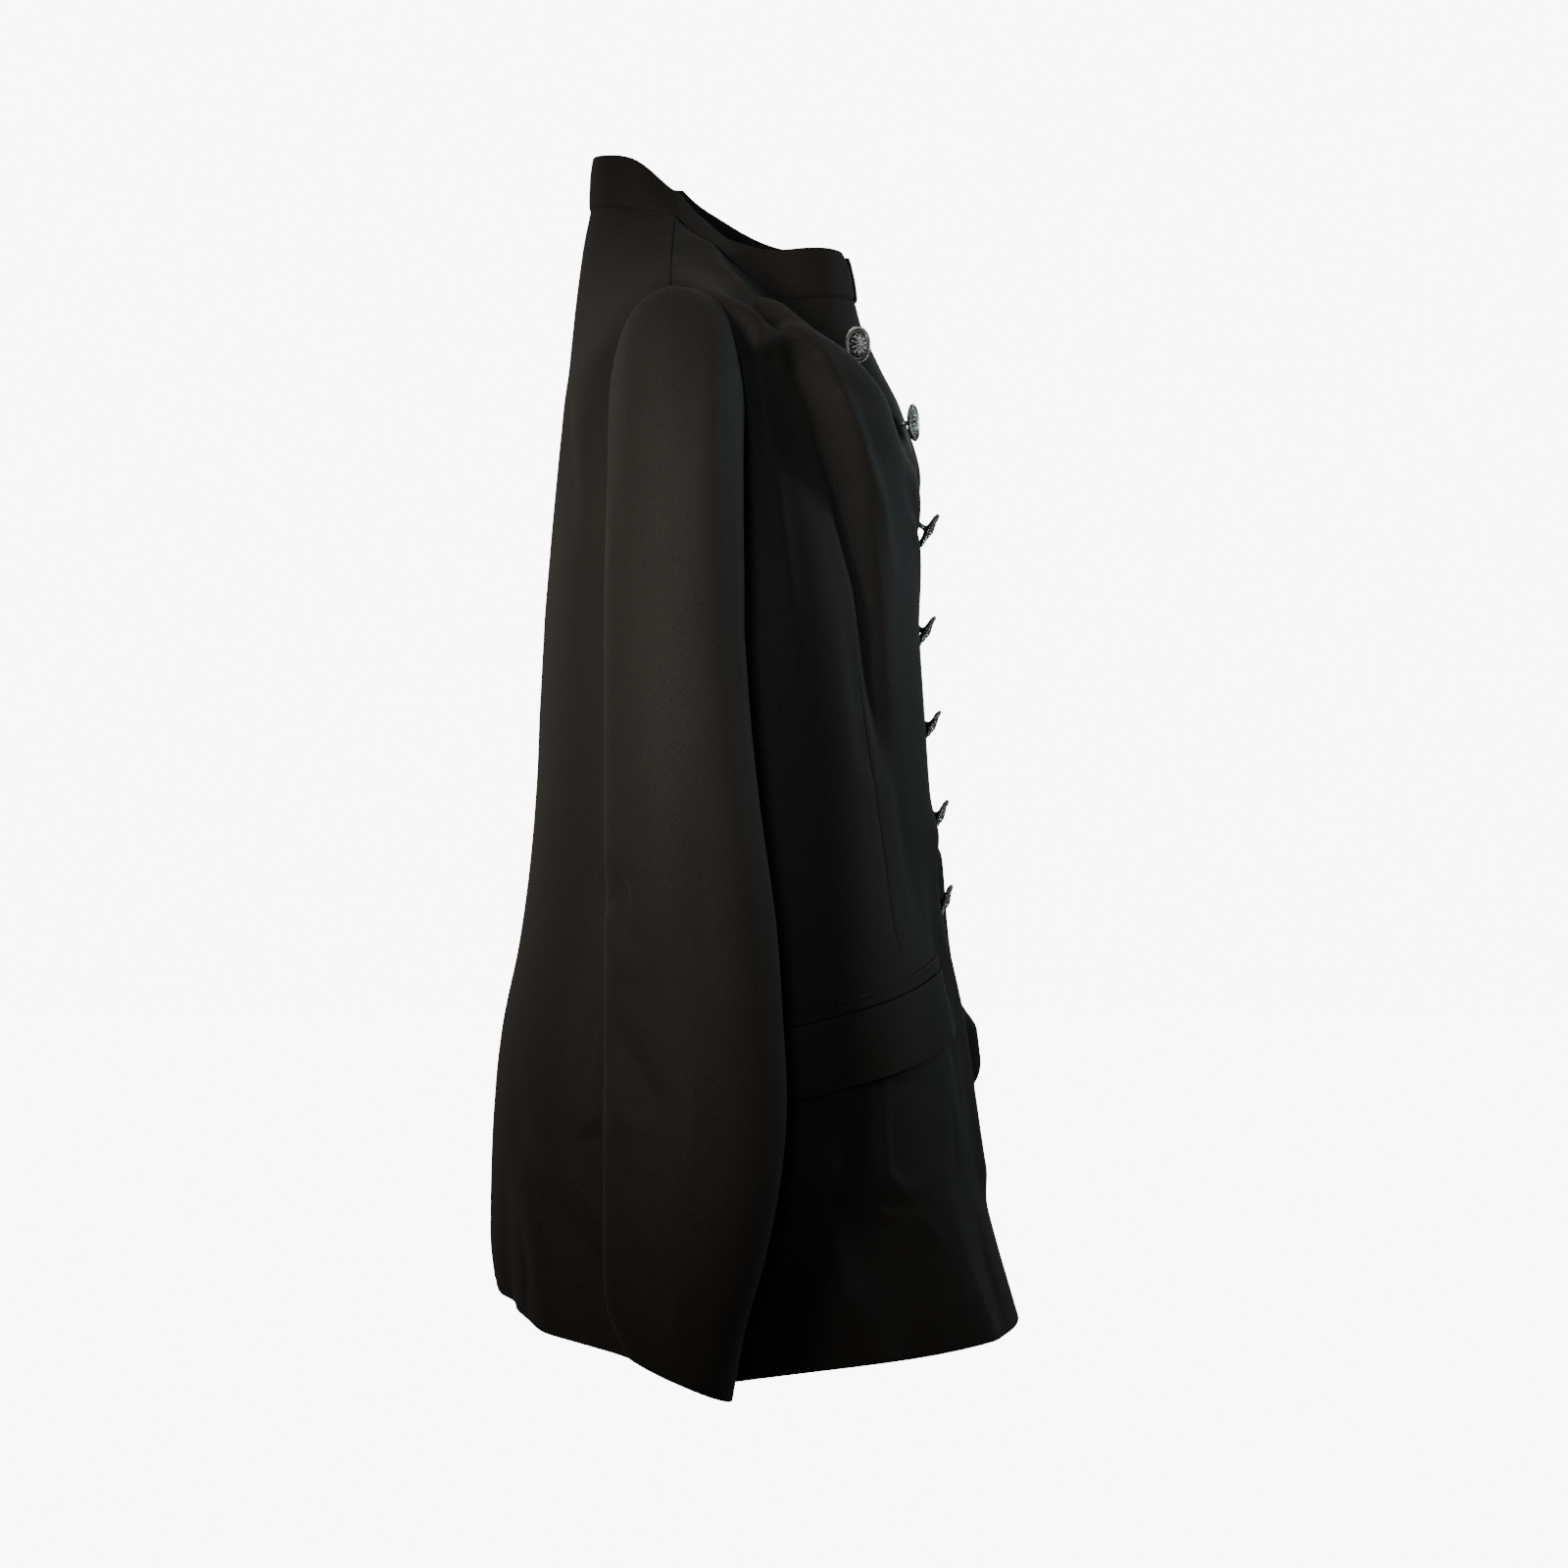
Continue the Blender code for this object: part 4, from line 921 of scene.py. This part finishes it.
COLLAR_ROUND = 0.0010
COLLAR_ROUND_POWER = 0.7
COLLAR_PUCKER_HEIGHT = 0.0004
COLLAR_PUCKER_SIZE = 0.012
COLLAR_PUCKER_SPREAD = 1.2
COLLAR_SEED = 4.0

right_end = front_angle(EDGE_X_NECK - COLLAR_END_GAP / 2, 0.0)
left_end = front_angle(EDGE_X_NECK + COLLAR_END_GAP / 2, 0.0)
angles = np.linspace(left_end, 2 * math.pi + right_end, COLLAR_COLUMN_COUNT + 1)
signed = np.where(angles > math.pi, angles - 2 * math.pi, angles)


def collar_value(name):
    """One measure of the collar at each of its columns."""
    turn = np.abs(np.degrees(signed))
    left = smooth_table(COLLAR_ROWS, COLLAR_COLUMNS.index("left_" + name), turn)
    right = smooth_table(COLLAR_ROWS, COLLAR_COLUMNS.index("right_" + name), turn)
    return np.where(signed > 0, left, right)[:, None]


seam = body(angles, np.zeros(len(angles)), COLLAR_STEP)
inward = (np.array([0, COLLAR_MIDDLE_Y, 0]) - seam) * np.array([1, 1, 0])
inward /= np.linalg.norm(inward, axis=1, keepdims=True)
up = inward * collar_value("lean") + np.array([0, 0, 1]) * collar_value("rise")
length = np.linalg.norm(up, axis=1, keepdims=True)
up = up / length
run = np.linalg.norm(seam - seam[:1], axis=1)
to_end = np.minimum(run, run[::-1])
inset = np.clip(COLLAR_CORNER - to_end, 0, COLLAR_CORNER)
rounding = COLLAR_CORNER - np.sqrt(COLLAR_CORNER**2 - inset**2)
shares = np.linspace(0, 1, COLLAR_ROW_COUNT + 1)[:, None]
rows = seam + up * COLLAR_SEAM + up * (shares * (length[:, 0] - rounding))[..., None]
belly = COLLAR_ROUND * np.sin(math.pi * shares) ** COLLAR_ROUND_POWER
eased = np.sin(math.pi * np.clip(shares * COLLAR_PUCKER_SPREAD, 0, 1))
eased = COLLAR_PUCKER_HEIGHT * ripple(rows, COLLAR_PUCKER_SIZE, COLLAR_SEED) * eased
turned_in = seam + inward * COLLAR_TUCK_IN - up * COLLAR_TUCK_DOWN
rows = np.concatenate([turned_in[None], rows - inward * (belly + eased)[..., None]])
collar = lay_cloth("collar", rows, [("hem", np.ones(rows.shape[:2]))], COLLAR_CLOTH)

# Pocket flaps
# A slanted flap on each front, of two layers bagged out, hangs from a narrow welt that covers the mouth of
# the pocket. Both are sewn down along the top, so they lie close there and stand off below.
FLAP_ANGLE = 25.5
FLAP_LEVEL = -0.455
FLAP_LENGTH = 0.178
FLAP_DEPTH = 0.048
FLAP_SLOPE = 11.0
FLAP_LIFT_TOP = 0.0034
FLAP_LIFT_BOTTOM = 0.0048
FLAP_COLUMNS = 90
FLAP_ROW_COUNT = 24
WELT_HEIGHT = 0.0075
WELT_LIFT = 0.0026
WELT_ROW_COUNT = 5


def unrolled(side, across, level, lift):
    """Points of a front by their distance round the body from centre front, moved out by lift."""
    fine = np.linspace(0, math.pi / 2, FINE_STEPS)
    angle = [np.interp(wanted, run_round(fine, height), fine) for wanted, height in zip(across, level)]
    return worn_body(side * np.array(angle), level, lift)


def flap_strip(side, top, bottom, lift_top, lift_bottom, count):
    """A strip lying on a front along the pocket, from top to bottom below the pocket's mouth."""
    start = run_round(np.linspace(0, math.radians(FLAP_ANGLE), FINE_STEPS), FLAP_LEVEL)[-1]
    slope = math.radians(FLAP_SLOPE)
    along = np.linspace(0, FLAP_LENGTH, FLAP_COLUMNS + 1)
    made = []
    for share in np.linspace(0, 1, count + 1):
        below = top + (bottom - top) * share
        across = start + along * math.cos(slope) - below * math.sin(slope)
        level = FLAP_LEVEL - along * math.sin(slope) - below * math.cos(slope)
        made.append(unrolled(side, across, level, lift_top + (lift_bottom - lift_top) * share))
    return np.stack(made)[::-1, ::side]


for name, side in (("right", -1), ("left", 1)):
    top = WELT_HEIGHT + SEAM_GAP
    strip = flap_strip(side, top, FLAP_DEPTH, FLAP_LIFT_TOP, FLAP_LIFT_BOTTOM, FLAP_ROW_COUNT)
    flap = lay_cloth(f"{name}_flap", strip, [("hem", np.ones(strip.shape[:2]))])
    strip = flap_strip(side, 0, WELT_HEIGHT, WELT_LIFT, WELT_LIFT, WELT_ROW_COUNT)
    from_top = run_along(strip[::-1], 0)[::-1]
    lay_cloth(f"{name}_welt", strip, [("hem", np.ones(strip.shape[:2])), ("stitched", from_top)])

# Buttons
# Seven cast metal buttons with an antique silver finish, blackened in the hollows and bright where they
# rub. Each has a domed face with a roped rim and a round flower boss, and is sewn on by its shank.
BUTTON_COLUMNS = ("height", "inset", "turn", "nod")
BUTTON_ROWS = (
    (-0.079, 0.044, 42, 3),
    (-0.127, 0.040, 17, -3),
    (-0.188, 0.033, 3, 30),
    (-0.251, 0.030, 2, 30),
    (-0.311, 0.029, 2, 30),
    (-0.367, 0.029, 4, 26),
    (-0.421, 0.028, 5, 20),
)
BUTTON_GAP = 0.0012
BUTTON_STEPS = 64
SHANK_RADIUS = 0.0022
BUTTON_PROFILE = (
    (0.0000, 0.0090),
    (0.0040, 0.0088),
    (0.0078, 0.0079),
    (0.0088, 0.0074),
    (0.0100, 0.0077),
    (0.0108, 0.0073),
    (0.0106, 0.0066),
    (0.0090, 0.0060),
    (0.0040, 0.0056),
    (SHANK_RADIUS, 0.0050),
    (0.0016, 0.0040),
    (0.0016, 0.0012),
    (SHANK_RADIUS, 0.0002),
    (0.0000, 0.0),
)
# Lumps of the face, round its middle: how many, the first one's place in steps, the radius and height they
# sit at, how they are tilted to the side and outwards in degrees, half their sizes and their roundness
LUMP_COLUMNS = ("count", "first", "radius", "height", "roll", "tip", "size", "detail")
LUMP_ROWS = (
    (44, 0.0, 0.0106, 0.0080, 38, 0, (0.0012, 0.00055, 0.00155), 2),
    (36, 0.0, 0.0086, 0.0080, 0, 0, (0.00058, 0.00058, 0.00050), 1),
    (10, 0.0, 0.0049, 0.0090, 0, 12, (0.0024, 0.00105, 0.0009), 2),
    (10, 0.5, 0.0069, 0.0084, 0, 0, (0.0008, 0.0006, 0.0006), 1),
    (8, 0.0, 0.0022, 0.0099, 0, 0, (0.0010, 0.0006, 0.0006), 2),
    (1, 0.0, 0.0, 0.0099, 0, 0, (0.0015, 0.0015, 0.0009), 2),
)
FACE_BOTTOM = 0.0050
FACE_HOLLOW = 0.75
BACK_HOLLOW = 0.25
SEARCH_STEPS = 480
SILVER_BRIGHT = (0.56, 0.55, 0.53, 1.0)
SILVER_DARK = (0.035, 0.033, 0.030, 1.0)
SILVER_ROUGH = (0.22, 0.55)
STAIN_NOISE = (420.0, 4.0, 0.5)
STAIN_SHARE = 0.5
STAIN_START = 0.35


def silver_finish():
    """Bright silver where it rubs, darker and duller by the mark for hollows and by uneven stains."""
    material = bpy.data.materials.new("antique silver")
    material.use_nodes = True
    nodes = Nodes(material.node_tree)
    place = nodes.add("ShaderNodeTexCoord", {}).outputs["Object"]
    stain = nodes.noise(place, *STAIN_NOISE)
    dull = nodes.math("MULTIPLY_ADD", stain, STAIN_SHARE, nodes.mark("hollow"))
    looks = {
        "Metallic": 1.0,
        "Base Color": nodes.mix(nodes.remap(dull, STAIN_START, 1.0, 0.0, 1.0), SILVER_BRIGHT, SILVER_DARK),
        "Roughness": nodes.remap(dull, 0.0, 1.0, *SILVER_ROUGH),
    }
    nodes.fill(material.node_tree.nodes["Principled BSDF"], looks)
    return material


antique_silver = silver_finish()


def rotation(degrees, axis):
    return Matrix.Rotation(math.radians(degrees), 4, axis)


def button_form():
    """A whole button about its own axis: spun body, roped rim, ring of beads and flower boss."""
    form = bmesh.new()
    hollow = form.verts.layers.float.new("hollow")
    points = [form.verts.new((radius, 0, height)) for radius, height in BUTTON_PROFILE]
    edges = [form.edges.new(pair) for pair in zip(points[:-1], points[1:])]
    round_it = {"cent": (0, 0, 0), "axis": (0, 0, 1), "angle": 2 * math.pi, "steps": BUTTON_STEPS}
    bmesh.ops.spin(form, geom=points + edges, use_merge=True, **round_it)
    bmesh.ops.remove_doubles(form, verts=form.verts, dist=MERGE_DISTANCE)
    bmesh.ops.recalc_face_normals(form, faces=form.faces)
    for point in form.verts:
        point[hollow] = FACE_HOLLOW if point.co.z > FACE_BOTTOM else BACK_HOLLOW
    for row in named(LUMP_COLUMNS, LUMP_ROWS):
        spot = Matrix.Translation((row["radius"], 0, row["height"]))
        lump = rotation(row["roll"], "X") @ rotation(row["tip"], "Y") @ Matrix.Diagonal((*row["size"], 1))
        for k in range(row["count"]):
            around = Matrix.Rotation(2 * math.pi * (k + row["first"]) / row["count"], 4, "Z")
            ball = bmesh.ops.create_icosphere(
                form, subdivisions=row["detail"], radius=1.0, matrix=around @ spot @ lump
            )
            for point in ball["verts"]:
                point[hollow] = 0.0
    return form


search = np.linspace(HEM_LEVEL, 0, SEARCH_STEPS)
for number, row in enumerate(named(BUTTON_COLUMNS, BUTTON_ROWS), start=1):
    around = front_angle(edge_x(search) - row["inset"], search)
    at = int(np.abs(body(around, search)[:, 2] - row["height"]).argmin())
    angle, level = around[at : at + 1], search[at : at + 1]
    foot = body(angle, level, BUTTON_GAP)[0]
    normal = outward(body, angle, level)[0]
    spin = rotation(-90 - row["turn"], "Z") @ rotation(90 + row["nod"], "Y")
    tilt = math.acos(min(1.0, (spin.to_3x3() @ Vector((0, 0, 1))).dot(Vector(normal))))
    form = button_form()
    place = Matrix.Translation(Vector(foot + normal * SHANK_RADIUS * math.sin(tilt))) @ spin
    bmesh.ops.transform(form, matrix=place, verts=form.verts)
    name = f"cast_button_{number}"
    mesh = bpy.data.meshes.new(name)
    form.to_mesh(mesh)
    form.free()
    add_piece(name, mesh, antique_silver, f"button_{number}")
